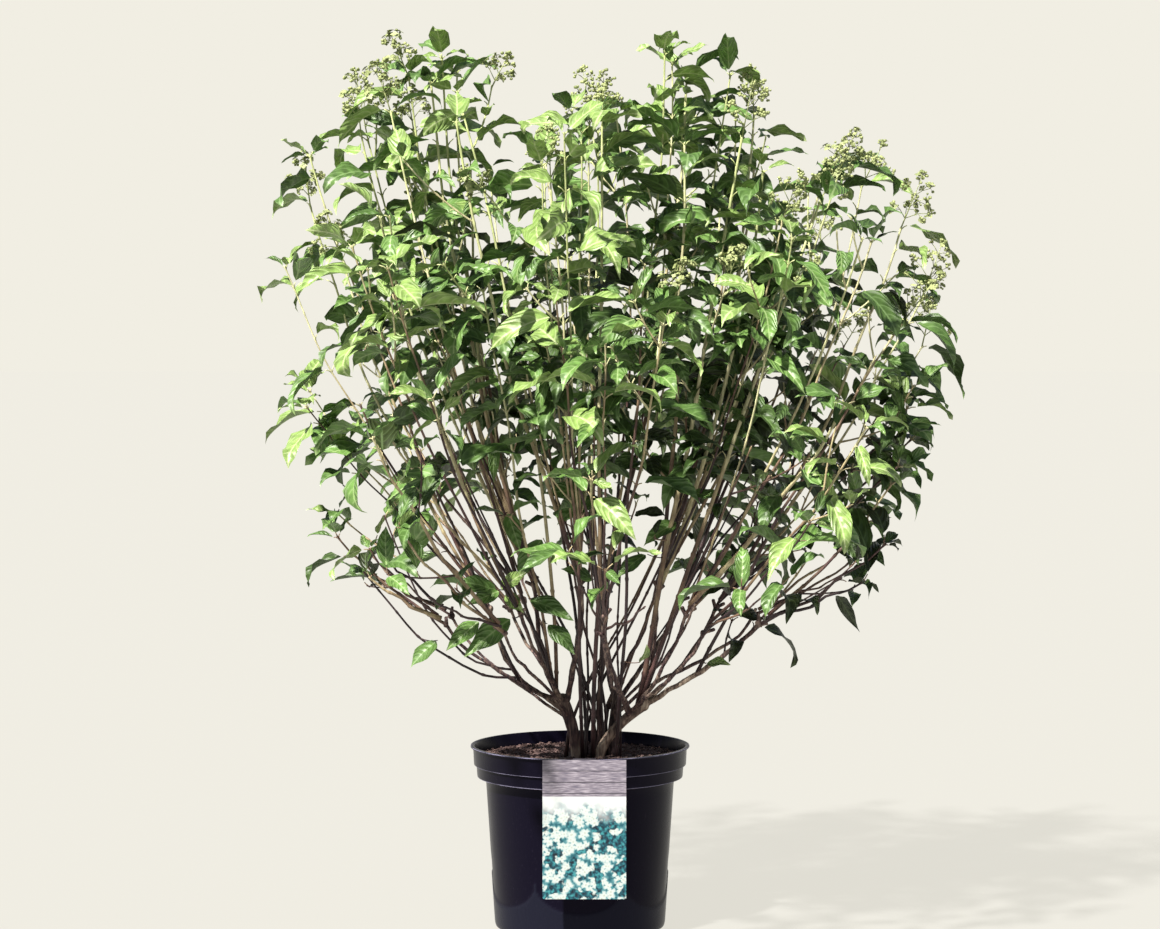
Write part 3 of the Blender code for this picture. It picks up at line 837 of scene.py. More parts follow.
    def drill(self, obj: Object) -> None:
        """Cuts the drain holes through the floor.

        Args:
            obj: the pot.
        """
        cutters = []
        for k in range(self.drain_holes):
            angle = math.tau * (k + 0.5) / self.drain_holes
            bpy.ops.mesh.primitive_cylinder_add(
                vertices=24,
                radius=self.drain_radius,
                depth=6 * self.wall,
                location=(self.drain_circle * math.cos(angle), self.drain_circle * math.sin(angle), 0.0),
            )
            cutters.append(bpy.context.object)
        cutter = join(cutters[::-1])
        apply_modifier(obj, "BOOLEAN", object=cutter, operation="DIFFERENCE", solver="EXACT")
        bpy.data.objects.remove(cutter)

    def build(self) -> Object:
        """Turns, drills and finishes the pot.

        Returns:
            The pot.
        """
        obj = self.turn([*self.outer_profile(), *self.inner_profile()])
        self.drill(obj)
        self.press_foot(obj)
        self.mark_painted_highlights(obj)
        return finish_piece(obj, "nursery_pot", [MouldedPolypropylene().build()], ["pot"], 50.0)


# ---------------- compost


@dataclass(frozen=True)
class BarkCrumb:
    """Composted bark: matt, damp and dark red-brown, each crumb a little apart in tone."""

    name: str
    light: str
    dark: str
    crumb: float = 4 * MM

    def build(self) -> Material:
        """Builds its nodes.

        Returns:
            The material.
        """
        material, add, shader = start_material(self.name)
        tone = add("TexNoise", "Fac", {"Vector": add("TexCoord", "Object"), "Scale": 1 / self.crumb, "Detail": 6.0})
        sockets = {
            "Base Color": add("ValToRGB", "Color", (tone,), stops=((0.36, self.dark), (0.66, self.light))),
            "Normal": add("Bump", 0, {"Strength": 0.8, "Distance": 1.0 * MM, "Height": tone}),
            "Roughness": 0.88,
        }
        set_inputs(shader, sockets)
        return material


@dataclass
class CompostFill:
    """The compost's rough surface with loose bark crumbs on it."""

    top: float = SOIL_TOP
    radius: float = 0.1606
    body: tuple[tuple[float, float], ...] = ((0.1570, 0.2530), (0.1560, 0.2345), (0.1425, 0.2285), (0.1270, 0.0045))
    rings: tuple[float, ...] = (1.0, 0.94, 0.88, 0.8, 0.7, 0.6, 0.5, 0.4, 0.3, 0.2, 0.1)
    crumbs: int = 1900
    relief: float = 3.4 * MM

    def surface(self) -> Object:
        """Shapes the upper side of the fill in hummocks.

        Returns:
            The surface, which is open below.
        """
        deselect()
        bpy.ops.mesh.primitive_circle_add(
            vertices=96, radius=self.radius, location=(0.0, 0.0, self.top), fill_type="NGON"
        )
        obj = bpy.context.object
        bpy.ops.object.transform_apply(location=True)
        edit(obj)
        for outer, inner in zip(self.rings, self.rings[1:]):
            bpy.ops.mesh.inset(thickness=self.radius * outer - self.radius * inner, depth=0.0)
        bpy.ops.mesh.select_all(action="DESELECT")
        bpy.ops.object.mode_set(mode="OBJECT")
        rng = Random(SEED)
        waves = [
            (rng.uniform(70, 260), rng.uniform(70, 260), rng.uniform(0, math.tau), rng.uniform(0.2, 1.0))
            for _ in range(14)
        ]
        for vert in obj.data.vertices:
            x, y = vert.co.x, vert.co.y
            share = min(1.0, (self.radius - vert.co.xy.length) / (8 * MM))
            swell = sum(size * math.sin(a * x + b * y + c) for a, b, c, size in waves) / 5
            vert.co.z += self.relief * 0.5 * swell * share - 1.0 * MM
        return obj

    def crumb_layer(self) -> Object:
        """Strews crumbs on the surface.

        Returns:
            Loose crumbs and flakes of bark in three tones.
        """
        rng = Random(SEED + 1)
        bundle = MeshBundle()
        corners = np.array([(x, y, z) for z in (-1, 1) for x, y in ((-1, -1), (1, -1), (1, 1), (-1, 1))], float)
        sides = [(0, 3, 2, 1), (4, 5, 6, 7), (0, 1, 5, 4), (1, 2, 6, 5), (2, 3, 7, 6), (3, 0, 4, 7)]
        for _ in range(self.crumbs):
            away, angle = (self.radius - 3 * MM) * math.sqrt(rng.random()), rng.uniform(0, math.tau)
            long = rng.uniform(1.8, 5.5) * MM if rng.random() < 0.88 else rng.uniform(5.5, 9.0) * MM
            size = np.array([long, long * rng.uniform(0.35, 0.8), long * rng.uniform(0.18, 0.5)]) / 2
            jitter = np.array([[rng.uniform(0.55, 1.1) for _ in range(3)] for _ in range(8)])
            turn = Matrix.Rotation(rng.uniform(0, math.tau), 3, "Z") @ Matrix.Rotation(rng.gauss(0, 0.5), 3, "X")
            turn = turn @ Matrix.Rotation(rng.gauss(0, 0.4), 3, "Y")
            place = (away * math.cos(angle), away * math.sin(angle), self.top - 0.4 * MM + rng.uniform(0, 1.8) * MM)
            tone = 0 if rng.random() < 0.62 else 1 if rng.random() < 0.80 else 2
            bundle.add((corners * size * jitter) @ np.array(turn).T + place, sides, tone)
        return bundle.build("crumbs")

    def build(self) -> Object:
        """Closes the fill below and joins its crumbs to it.

        Returns:
            The fill and its crumbs as one piece.
        """
        body = self.surface()
        body.data.materials.append(None)
        crumbs = self.crumb_layer()
        edit(body, "DESELECT")
        bpy.ops.mesh.select_non_manifold()
        raise_rings([(self.radius, self.top), *self.body])
        face_outwards()
        join([body, crumbs])
        tones = [
            BarkCrumb("bark_compost", "#76605C", "#3E2B2A").build(),
            BarkCrumb("bark_crumb_red", "#8C7468", "#523C38").build(),
            BarkCrumb("bark_crumb_pale", "#CDBBA8", "#94806E").build(),
        ]
        return finish_piece(body, "bark_compost", tones, ["compost"], 30.0)


# ---------------- label


@dataclass(frozen=True)
class PrintedCard:
    """Varnished plastic card printed in colour: grey boards on top, and pale blossom over teal below."""

    top: float
    board: float = 17 * MM
    board_joint: float = 0.07  # share of a board
    grain: float = 1.8 * MM
    header: float = 56 * MM
    mist: float = 22 * MM  # how far above the picture's edge it starts
    blossom: float = 15 * MM
    truss: float = 24 * MM
    crinkle: float = 3.5 * MM
    leafage: float = 5 * MM
    board_tones: Stops = ((0.30, "#504B5A"), (0.52, "#7A737E"), (0.75, "#ACA5AE"))
    ground_tones: Stops = ((0.36, "#04121F"), (0.50, "#0C4250"), (0.64, "#337C82"))
    petal_tones: Stops = (
        (0.00, "#8F9788"),
        (0.14, "#B4BAB8"),
        (0.36, "#A3AFAE"),
        (0.47, "#4E7F86"),
        (0.70, "#164C58"),
    )

    def build(self) -> Material:
        """Builds its nodes.

        Returns:
            The material.
        """
        material, add, shader = start_material("printed_card")
        place = add("TexCoord", "Object")
        axes = add("SeparateXYZ", 0, (place,)).node.outputs
        below = add("Math", 0, (self.top, axes["Z"]), operation="SUBTRACT")
        is_header = add("Math", 0, (below, self.header), operation="LESS_THAN")
        misty = self.picture(add, place, axes, below)
        sockets = {
            "Base Color": add("Mix", 2, {0: is_header, 6: misty, 7: self.boards(add, place, below)}, data_type="RGBA"),
            "Roughness": 0.32,
            "IOR": 1.5,
        }
        set_inputs(shader, sockets)
        return material

    def boards(self, add: Adder, place: NodeSocket, below: NodeSocket) -> NodeSocket:
        """Colour of the header: weathered boards, with a dark joint between them.

        Args:
            add: the material's adder of nodes.
            place: position on the card.
            below: distance under the card's top.

        Returns:
            The colour.
        """
        drawn = add("Mapping", "Vector", {"Vector": place, "Scale": (0.12, 1.0, 1.0)})
        grain = add("TexNoise", "Fac", {"Vector": drawn, "Scale": 1 / self.grain, "Detail": 6.0})
        colour = add("ValToRGB", "Color", (grain,), stops=self.board_tones)
        row = add("Math", 0, (below, self.board), operation="DIVIDE")
        part = add("Math", 0, (row,), operation="FRACT")
        joint = add("Math", 0, (part, self.board_joint), operation="LESS_THAN")
        return add("Mix", 2, {0: joint, 6: colour, 7: srgb("#2E2A33")}, data_type="RGBA")

    def picture(
        self, add: Adder, place: NodeSocket, axes: NodeOutputs, below: NodeSocket
    ) -> NodeSocket:
        """Colour of the picture: trusses of pale petals over a teal ground, fading into white mist at the top.

        Args:
            add: the material's adder of nodes.
            place: position on the card.
            axes: its parts.
            below: distance under the card's top.

        Returns:
            The colour.
        """
        drift = add("TexNoise", "Fac", {"Vector": place, "Scale": 1 / self.truss, "Detail": 2.0})
        crinkle = add("TexNoise", "Color", {"Vector": place, "Scale": 1 / self.crinkle, "Detail": 2.0})
        leafage = add("TexNoise", "Fac", {"Vector": place, "Scale": 1 / self.leafage, "Detail": 5.0})
        flat = add("CombineXYZ", 0, (axes["X"], axes["Z"]))
        flat = add("VectorMath", 0, (crinkle, (0.004, 0.004, 0.0), flat), operation="MULTIPLY_ADD")
        blossoms = [self.blossoms(add, flat, shift) for shift in (0.0, 0.37)]
        petals = add("Math", 0, blossoms, operation="MINIMUM")
        ragged = add("Math", 0, (petals, 0.06, drift), operation="MULTIPLY_ADD")
        bloom = add("MapRange", 0, (ragged, 0.580, 0.545, 0.0, 1.0))
        ground = add("ValToRGB", "Color", (leafage,), stops=self.ground_tones)
        halved = add("Math", 0, (petals, 0.5), operation="MULTIPLY")
        petal = add("ValToRGB", "Color", (halved,), stops=self.petal_tones)
        picture = add("Mix", 2, {0: bloom, 6: ground, 7: petal}, data_type="RGBA")
        uneven = add("Math", 0, (drift, -60 * MM, below), operation="MULTIPLY_ADD")
        mist = add("MapRange", 0, (uneven, self.header - self.mist, self.header + 6 * MM, 1.0, 0.0))
        return add("Mix", 2, {0: mist, 6: picture, 7: srgb("#BCBFC0")}, data_type="RGBA")

    def blossoms(self, add: Adder, flat: NodeSocket, shift: float) -> NodeSocket:
        """Scattered blossoms of four petals.

        Args:
            add: adds a node to the material.
            flat: place on the card.
            shift: offset of the scatter, in metres.

        Returns:
            The distance from the nearest blossom's middle, over the reach of its petals that way.
        """
        moved = add("VectorMath", 0, (flat, (shift, shift * 0.6, 0.0)), operation="ADD")
        scatter = {"Vector": moved, "Scale": 1 / self.blossom, "Randomness": 1.0}
        cells = add("TexVoronoi", 0, scatter, voronoi_dimensions="2D").node.outputs
        off = add("VectorMath", 0, (moved, cells["Position"]), operation="SUBTRACT")
        sides = add("SeparateXYZ", 0, (off,)).node.outputs
        turn = add("Math", 0, (sides["Y"], sides["X"]), operation="ARCTAN2")
        spin = add("SeparateXYZ", "X", (cells["Color"],))
        angle = add("Math", 0, (spin, 3.0, turn), operation="MULTIPLY_ADD")
        double = add("Math", 0, (angle, 2.0), operation="MULTIPLY")
        wave = add("Math", 0, (add("Math", 0, (double,), operation="COSINE"),), operation="ABSOLUTE")
        reach = add("MapRange", 0, (wave, 0.0, 0.8, 0.24, 0.54))
        return add("Math", 0, (cells["Distance"], reach), operation="DIVIDE")


@dataclass
class PictureLabel:
    """A stiff card that hangs on the lip by a folded tongue."""

    width: float = 0.125
    centre: float = 0.0065
    height: float = 0.210
    thickness: float = 0.8 * MM
    back: float = -0.1703
    tongue_width: float = 0.034
    tongue_inside: float = 0.0155
    tongue_back: float = -0.1607
    corner: float = 2.5 * MM

    @property
    def top(self) -> float:
        """Height of the fold."""
        return NurseryPot.height + GAP + self.thickness

    def sheet(self, width: float, places: Profile) -> Object:
        """A strip of this width drawn through (y, z) places.

        Args:
            width: the strip's width.
            places: its course.

        Returns:
            The strip.
        """
        deselect()
        y0, z0 = places[0]
        bpy.ops.mesh.primitive_plane_add(size=1.0, location=(self.centre, y0, z0))
        obj = bpy.context.object
        edit(obj)
        bpy.ops.transform.resize(value=(width, 1e-6, 1.0), center_override=(self.centre, y0, z0))
        bpy.ops.mesh.remove_doubles(threshold=1e-5)
        bpy.ops.mesh.select_all(action="SELECT")
        for (ya, za), (yb, zb) in zip(places, places[1:]):
            bpy.ops.mesh.extrude_edges_move(TRANSFORM_OT_translate={"value": (0.0, yb - ya, zb - za)})
        bpy.ops.object.mode_set(mode="OBJECT")
        pick(obj)
        bpy.ops.object.transform_apply(location=True, rotation=True, scale=True)
        return obj

    def round_corners(self, obj: Object) -> None:
        """Rounds the card's lower corners.

        Args:
            obj: the card.
        """
        edit(obj, "DESELECT")
        bpy.ops.object.mode_set(mode="OBJECT")
        low = min(v.co.z for v in obj.data.vertices) + 1e-5
        for vert in obj.data.vertices:
            vert.select = vert.co.z < low
        bpy.ops.object.mode_set(mode="EDIT")
        bpy.ops.mesh.bevel(offset=self.corner, segments=4, affect="VERTICES")
        bpy.ops.object.mode_set(mode="OBJECT")

    def build(self) -> Object:
        """Folds, thickens and finishes the label.

        Returns:
            The label.
        """
        half = self.thickness / 2
        front, top = self.back - half, self.top
        card_rows = [(front, top - 1.0 * MM)]
        card_rows += [(front, top - self.height * k / 8) for k in range(1, 9)]
        card = self.sheet(self.width, card_rows)
        self.round_corners(card)
        inside = self.tongue_back + half
        over = [
            (front, top - 9 * MM),
            (front, top - 1.2 * MM),
            (front + 0.4 * MM, top - half - 0.2 * MM),
            (front + 1.2 * MM, top - half),
            (inside - 1.2 * MM, top - half),
            (inside - 0.4 * MM, top - half - 0.3 * MM),
            (inside, top - 1.4 * MM),
            (inside, top - self.tongue_inside),
        ]
        tongue = self.sheet(self.tongue_width, over)
        for piece in (card, tongue):
            apply_modifier(piece, "SOLIDIFY", thickness=self.thickness, offset=0.0)
        edit(join([card, tongue]))
        face_outwards()
        return finish_piece(card, "picture_label", [PrintedCard(self.top).build()], ["label"], 35.0)


# ---------------- old wood


@dataclass(frozen=True)
class OldBark:
    """Two- and three-year-old hydrangea bark: dark brown, dry and flaking in long strips over paler tan wood."""

    strip: float = 4 * MM
    patch: float = 45 * MM
    bark_tones: Stops = ((0.34, "#21161A"), (0.52, "#463334"), (0.72, "#80695E"))
    wood_tones: Stops = ((0.32, "#52403A"), (0.54, "#968374"), (0.76, "#C9BAA8"))

    def build(self) -> Material:
        """Builds its nodes.

        Returns:
            The material.
        """
        material, add, shader = start_material("old_bark")
        place = add("TexCoord", "Object")
        strips = add("Mapping", "Vector", {"Vector": place, "Scale": (1.0, 1.0, 0.16)})
        fissure = add("TexNoise", "Fac", {"Vector": strips, "Scale": 1 / self.strip, "Detail": 7.0})
        patch = add("TexNoise", "Fac", {"Vector": place, "Scale": 1 / self.patch, "Detail": 3.0})
        bark = add("ValToRGB", "Color", (fissure,), stops=self.bark_tones)
        wood = add("ValToRGB", "Color", (fissure,), stops=self.wood_tones)
        rubbed = add("Attribute", "Fac", attribute_name="rubbed")
        worn = add("Math", 0, (rubbed, 0.28, patch), operation="MULTIPLY_ADD")
        bare = add("MapRange", 0, (worn, 0.50, 0.76, 0.0, 1.0))
        sockets = {
            "Base Color": add("Mix", 2, {0: bare, 6: bark, 7: wood}, data_type="RGBA"),
            "Normal": add("Bump", 0, {"Strength": 0.9, "Distance": 0.9 * MM, "Height": fissure}),
            "Roughness": 0.82,
        }
        set_inputs(shader, sockets)
        return material


@dataclass
class OldWood:
    """The trunks, the boughs and the knuckles of old pruning cuts, in one skin of flaking bark."""

    masses: list[Mass]
    voxel: float = 1.8 * MM
    relief: float = 1.0 * MM
    knuckle_radius: float = 5.4 * MM
    trunk_slim: float = 0.90
    root_flare: tuple[float, ...] = (1.22, 1.10, 1.03, 1.0)  # of the radius, from the foot up
    bough_girths: tuple[float, float] = (0.72, 1.08)
    outer_girth: float = 0.78  # the outer boughs are finer
    course_girth: float = 0.90
    bough_slim: float = 0.88
    sunk: float = 6 * MM  # how far trunks go on under the compost
    stub_radii: tuple[float, ...] = (3.4 * MM, 3.1 * MM, 3.0 * MM)
    bark_grain: float = 7 * MM
    bark_draw: float = 3.2  # how far the relief is drawn out upwards

    def trunk_paths(self) -> dict[str, list[Vector]]:
        """Draws the trunks.

        Returns:
            Centre line of each trunk.
        """
        made = {}
        for name, foot, head, _, _ in TRUNKS:
            middle = foot.lerp(head, 0.45) + UP * TRUNK_BOW - (head - foot).to_2d().to_3d() * 0.25
            made[name] = bezier((foot, middle, head), 13)
        return made

    def bough_path(self, mass: Mass, trunks: dict[str, list[Vector]]) -> list[Vector]:
        """Centre line of the bough that carries a mass.

        Args:
            mass: the mass.
            trunks: centre line of each trunk.

        Returns:
            The points, up to the knuckle.
        """
        knuckle = mass.drawn_knuckle
        axis = (knuckle - FOCUS + UP * 0.10).normalized()
        if mass.name in SOIL_FEET:
            foot = SOIL_FEET[mass.name]
            rise = (knuckle.z - foot.z) * 0.45
            return bezier((foot, foot + UP * rise, knuckle - axis * rise, knuckle), 13)
        trunk = "trunk_left" if mass.axis.x < -0.05 else "trunk_rear" if mass.axis.y > 0.2 else "trunk_right"
        if mass.name in BOUGH_COURSES:
            first, second = BOUGH_COURSES[mass.name]
            return bezier((trunks[trunk][-1], first, second, knuckle), 15)
        steep = 1 - mass.axis.xy.length / 0.7
        share = min(0.97, 0.62 + 0.42 * steep + 0.10 * (mass.order % 2))
        start, _ = along(trunks[trunk], path_length(trunks[trunk]) * share)
        span = (knuckle - start).length
        way = (outward(knuckle - start) + UP * (0.55 + 0.8 * steep + 0.25 * (mass.order % 3))).normalized()
        return bezier((start, start + way * span * 0.38, knuckle - axis * span * 0.30, knuckle), 13)

    def limb(self, path: Sequence[Vector], radii: Sequence[float]) -> Object:
        """One limb as a closed mesh.

        Args:
            path: its centre line.
            radii: radius at each point.

        Returns:
            The mesh.
        """
        bundle = MeshBundle()
        bundle.add(*tube(path, radii, 12))
        return bundle.build("limb")

    def ball(self, radius: float, place: Vector) -> Object:
        """A rounded joint between limbs."""
        bpy.ops.mesh.primitive_ico_sphere_add(subdivisions=2, radius=radius, location=place)
        return bpy.context.object

    def limbs(self) -> list[Object]:
        """Makes the limbs.

        Returns:
            Every trunk, bough, knuckle and pruning stub as loose meshes.
        """
        rng = Random(SEED + 2)
        trunks = self.trunk_paths()
        made = []
        for name, foot, head, foot_radius, head_radius in TRUNKS:
            path = trunks[name]
            radii = taper(foot_radius * self.trunk_slim, head_radius * self.trunk_slim, len(path))
            for k, flare in enumerate(self.root_flare):
                radii[k] *= flare
            lowered = [path[0] - UP * self.sunk, *path]
            made.append(self.limb(lowered, [radii[0] * 1.15, *radii]))
            made.append(self.ball(head_radius * 1.02, path[-1]))
        for mass in self.masses:
            path = self.bough_path(mass, trunks)
            wobble = [path[0], *(p + scatter(rng, 1.1 * MM) for p in path[1:-2])]
            girth = rng.uniform(*self.bough_girths) * (self.outer_girth if mass.name.startswith("outer") else 1.0)
            girth = self.course_girth if mass.name in BOUGH_COURSES else girth * self.bough_slim
            radii = taper(BOUGH_RADIUS * girth, BOUGH_TIP_RADIUS * (girth + 0.12), len(path))
            radii = [r * rng.uniform(0.92, 1.08) for r in radii]
            if mass.name in SOIL_FEET:
                wobble[0] = wobble[0] - UP * 5 * MM
                radii[0] *= 1.35
            made.append(self.limb([*wobble, *path[-2:]], radii))
            for _ in range(2):
                place = mass.drawn_knuckle + scatter(rng, 1.6 * MM)
                made.append(self.ball(self.knuckle_radius * rng.uniform(0.7, 1.0), place))
            for _ in range(rng.choice((1, 2, 2))):
                away = square_to(mass.axis, rng.uniform(0, math.tau))
                start = mass.drawn_knuckle
                end = start + (mass.axis * 0.9 + away).normalized() * rng.uniform(12, 19) * MM
                made.append(self.limb([start, start.lerp(end, 0.5), end], self.stub_radii))
        return made

    def mark_rubbed(self, wood: Object) -> None:
        """Marks the leaning trunk and the left trunk's foot, where the bark has worn off to paler wood.

        Args:
            wood: the joined wood.
        """
        marks = wood.data.attributes.new("rubbed", "FLOAT", "POINT")
        paths = self.trunk_paths()
        limb = next(mass for mass in self.masses if mass.name == "outer_10")
        spots = [(point, 0.016) for point in [*paths["trunk_right"], *self.bough_path(limb, paths)[:9]]]
        spots.append((paths["trunk_left"][0], 0.017))
        for vert in wood.data.vertices:
            near = min((vert.co - point).length / reach for point, reach in spots)
            marks.data[vert.index].value = min(1.0, max(0.0, 2.0 - 1.6 * near))

    def build(self) -> Object:
        """Joins the limbs under one bark.

        Returns:
            The finished wood.
        """
        deselect()
        wood = join(self.limbs())
        apply_modifier(wood, "REMESH", mode="VOXEL", voxel_size=self.voxel, adaptivity=0.0)
        apply_modifier(wood, "SMOOTH", factor=0.5, iterations=2)
        deselect()
        bpy.ops.object.empty_add(location=(0.0, 0.0, 0.0))
        guide = bpy.context.object
        guide.scale = (1.0, 1.0, self.bark_draw)
        bark = bpy.data.textures.new("bark_relief", "CLOUDS")
        bark.noise_scale, bark.noise_depth = self.bark_grain, 3
        bpy.context.view_layer.update()
        apply_modifier(
            wood,
            "DISPLACE",
            texture=bark,
            texture_coords="OBJECT",
            texture_coords_object=guide,
            strength=self.relief,
            mid_level=0.55,
        )
        bpy.data.objects.remove(guide)
        self.mark_rubbed(wood)
        nodes = [name for name, *_ in TRUNKS] + ["bough_" + mass.name for mass in self.masses]
        return finish_piece(wood, "old_wood", [OldBark().build()], nodes, 80.0)


# ---------------- crown


# painted light and painted shade: the tones stand for how much sun a leaf gets, lighter outside in the sun and darker
# inside the crown
class Tint(Enum):
    """Leaf tones, from the sunny outside to the shaded inside: (blade, vein)."""

    LIME = ("#76904C", "#ACB888")
    FRESH = ("#58783A", "#8EA46E")
    LEAF = ("#496530", "#748E5A")
    MOSS = ("#384E22", "#627A4C")
    DEEP = ("#283216", "#50603E")
    # painted shade: a blue-grey tone for the sprays that get least sun
    SLATE = ("#3A4632", "#64705C")


@dataclass(frozen=True)
class LeafBlade:
    """Living hydrangea leaf: a satin cuticle, pressed-in arching veins that are paler than the blade, and a
    slightly quilted surface between them."""

    tint: Tint
    vein_pairs: float = 5.6
    vein_arch: float = -10.5  # how far a side vein has run forward at the margin, in veins
    mottle: float = 14 * MM

    def build(self) -> Material:
        """Builds its nodes.

        Returns:
            The material.
        """
        blade, vein = self.tint.value
        material, add, shader = start_material("leaf_" + self.tint.name.lower())
        uv = add("SeparateXYZ", 0, (add("TexCoord", "UV"),)).node.outputs
        aside = add("Math", 0, (uv["X"], 0.5), operation="SUBTRACT")
        from_rib = add("Math", 0, (aside,), operation="ABSOLUTE")
        curved = add("Math", 0, (from_rib, 2.0), operation="POWER")
        forward = add("Math", 0, (curved, self.vein_arch), operation="MULTIPLY")
        row = add("Math", 0, (uv["Y"], self.vein_pairs, forward), operation="MULTIPLY_ADD")
        part = add("Math", 0, (row, 0.5), operation="PINGPONG")
        side_vein = add("MapRange", 0, (part, 0.02, 0.13, 0.42, 0.0))
        midrib = add("MapRange", 0, (from_rib, 0.012, 0.050, 0.85, 0.0))
        veins = add("Math", 0, (side_vein, midrib), operation="MAXIMUM")
        place = add("TexCoord", "Object")
        mottle = add("TexNoise", "Fac", {"Vector": place, "Scale": 1 / self.mottle, "Detail": 3.0})
        tone = add("MapRange", 0, (mottle, 0.3, 0.7, 0.62, 1.38))
        toned = add("Mix", 2, {0: 1.0, 6: srgb(blade), 7: tone}, data_type="RGBA", blend_type="MULTIPLY")
        sockets = {
            "Base Color": add("Mix", 2, {0: veins, 6: toned, 7: srgb(vein)}, data_type="RGBA"),
            "Normal": add("Bump", 0, {"Strength": 1.0, "Distance": 2.2 * MM, "Height": part}),
            "Roughness": 0.44,
            "IOR": 1.46,
        }
        set_inputs(shader, sockets)
        return material


@dataclass(frozen=True)
class PlainTissue:
    """Soft plant tissue without a pattern of its own, such as buds, petals and flower stalks: satin, with a
    gentle drift of tone."""

    name: str
    light: str
    dark: str
    roughness: float = 0.55
    drift: float = 9 * MM

    def build(self) -> Material:
        """Builds its nodes.

        Returns:
            The material.
        """
        material, add, shader = start_material(self.name)
        tone = add("TexNoise", "Fac", {"Vector": add("TexCoord", "Object"), "Scale": 1 / self.drift, "Detail": 2.0})
        colour = add("ValToRGB", "Color", (tone,), stops=((0.38, self.dark), (0.62, self.light)))
        set_inputs(shader, {"Base Color": colour, "Roughness": self.roughness})
        return material


@dataclass(frozen=True)
class CaneBark:
    """One-year-old cane: dark red-brown and corky at its foot, then tan, and pale olive where it is still soft."""

    streak: float = 4 * MM
    drift: float = 60 * MM
    tones: Stops = (
        (0.00, "#2C1D20"),
        (0.22, "#4A3230"),
        (0.36, "#7A624E"),
        (0.49, "#A89A76"),
        (0.70, "#C8C49A"),
        (1.00, "#AEB67C"),
    )

    def build(self) -> Material:
        """Builds its nodes.

        Returns:
            The material.
        """
        material, add, shader = start_material("cane_bark")
        place = add("TexCoord", "Object")
        height = add("SeparateXYZ", "Z", (place,))
        own = add("SeparateXYZ", "X", (add("TexCoord", "UV"),))
        drift = add("TexNoise", "Fac", {"Vector": place, "Scale": 1 / self.drift, "Detail": 3.0})
        level = add("Math", 0, (drift, 0.45, height), operation="MULTIPLY_ADD")
        level = add("Math", 0, (own, 0.45, level), operation="MULTIPLY_ADD")
        age = add("MapRange", 0, (level, 0.84, 1.68, 0.0, 1.0))
        bark = add("ValToRGB", "Color", (age,), stops=self.tones)
        drawn = add("Mapping", "Vector", {"Vector": place, "Scale": (1.0, 1.0, 0.15)})
        streak = add("TexNoise", "Fac", {"Vector": drawn, "Scale": 1 / self.streak, "Detail": 5.0})
        shade = add("MapRange", 0, (streak, 0.3, 0.7, 0.60, 1.3))
        sockets = {
            "Base Color": add("Mix", 2, {0: 1.0, 6: bark, 7: shade}, data_type="RGBA", blend_type="MULTIPLY"),
            "Normal": add("Bump", 0, {"Strength": 0.5, "Distance": 0.4 * MM, "Height": streak}),
            "Roughness": 0.58,
        }
        set_inputs(shader, sockets)
        return material


@dataclass
class Leaf:
    """One leaf: where its blade starts, how it lies, and how it bends."""

    base: Vector
    way: Vector
    up: Vector
    length: float
    bend: float
    droop: float
    fold: float
    wave: float
    phase: float
    twist: float
    tint: Tint


@dataclass
class Shoot:
    """A cane or a side shoot: its line, its thickness, and the size of a flower head at its tip."""

    path: list[Vector]
    radii: list[float]
    sides: int
    head: float = 0.0  # 1 is full size


# Low twigs that carry a pair or two of leaves under the crown: the place of each one's tip, and its leaf size
LOW_TWIGS = [
    (Vector(tip), mark)
    for *tip, mark in (
        (-0.105, -0.16, 0.645, 0.72), (-0.140, -0.15, 0.575, 0.62), (-0.010, -0.10, 0.690, 0.70),
        (0.085, -0.16, 0.665, 0.72), (0.110, -0.14, 0.610, 0.50), (0.075, -0.06, 0.640, 0.66),
        (0.060, 0.17, 0.580, 0.70), (-0.090, 0.16, 0.540, 0.62), (0.170, 0.14, 0.540, 0.66),
    )
]

# Leaves that hang alone under the crown: (base, tip, each as (across, height) seen from the front, tone)
LOW_LEAVES = (
    ((-0.155, 0.473), (-0.204, 0.434), Tint.FRESH),
    ((-0.105, 0.477), (-0.176, 0.429), Tint.FRESH),
    ((-0.057, 0.601), (-0.102, 0.543), Tint.FRESH),
    ((-0.113, 0.641), (-0.094, 0.590), Tint.FRESH),
    ((0.104, 0.576), (0.055, 0.548), Tint.FRESH),
    ((0.023, 0.537), (-0.022, 0.555), Tint.LEAF),
    ((-0.051, 0.468), (-0.009, 0.432), Tint.LEAF),
    ((-0.080, 0.507), (-0.016, 0.482), Tint.LEAF),
    ((-0.124, 0.519), (-0.168, 0.503), Tint.FRESH),
    ((-0.124, 0.521), (-0.090, 0.549), Tint.LIME),
    ((-0.128, 0.519), (-0.184, 0.538), Tint.LEAF),
    ((-0.116, 0.517), (-0.091, 0.489), Tint.LIME),
    ((0.151, 0.627), (0.102, 0.600), Tint.FRESH),
    ((0.011, 0.673), (-0.049, 0.678), Tint.FRESH),
    ((0.026, 0.666), (-0.033, 0.636), Tint.FRESH),
    ((0.170, 0.669), (0.215, 0.671), Tint.FRESH),
    ((0.212, 0.584), (0.238, 0.551), Tint.LEAF),
    ((0.093, 0.408), (0.110, 0.425), Tint.LIME),
    ((0.196, 0.407), (0.227, 0.410), Tint.LIME),
    ((-0.221, 0.442), (-0.262, 0.409), Tint.LEAF),
)

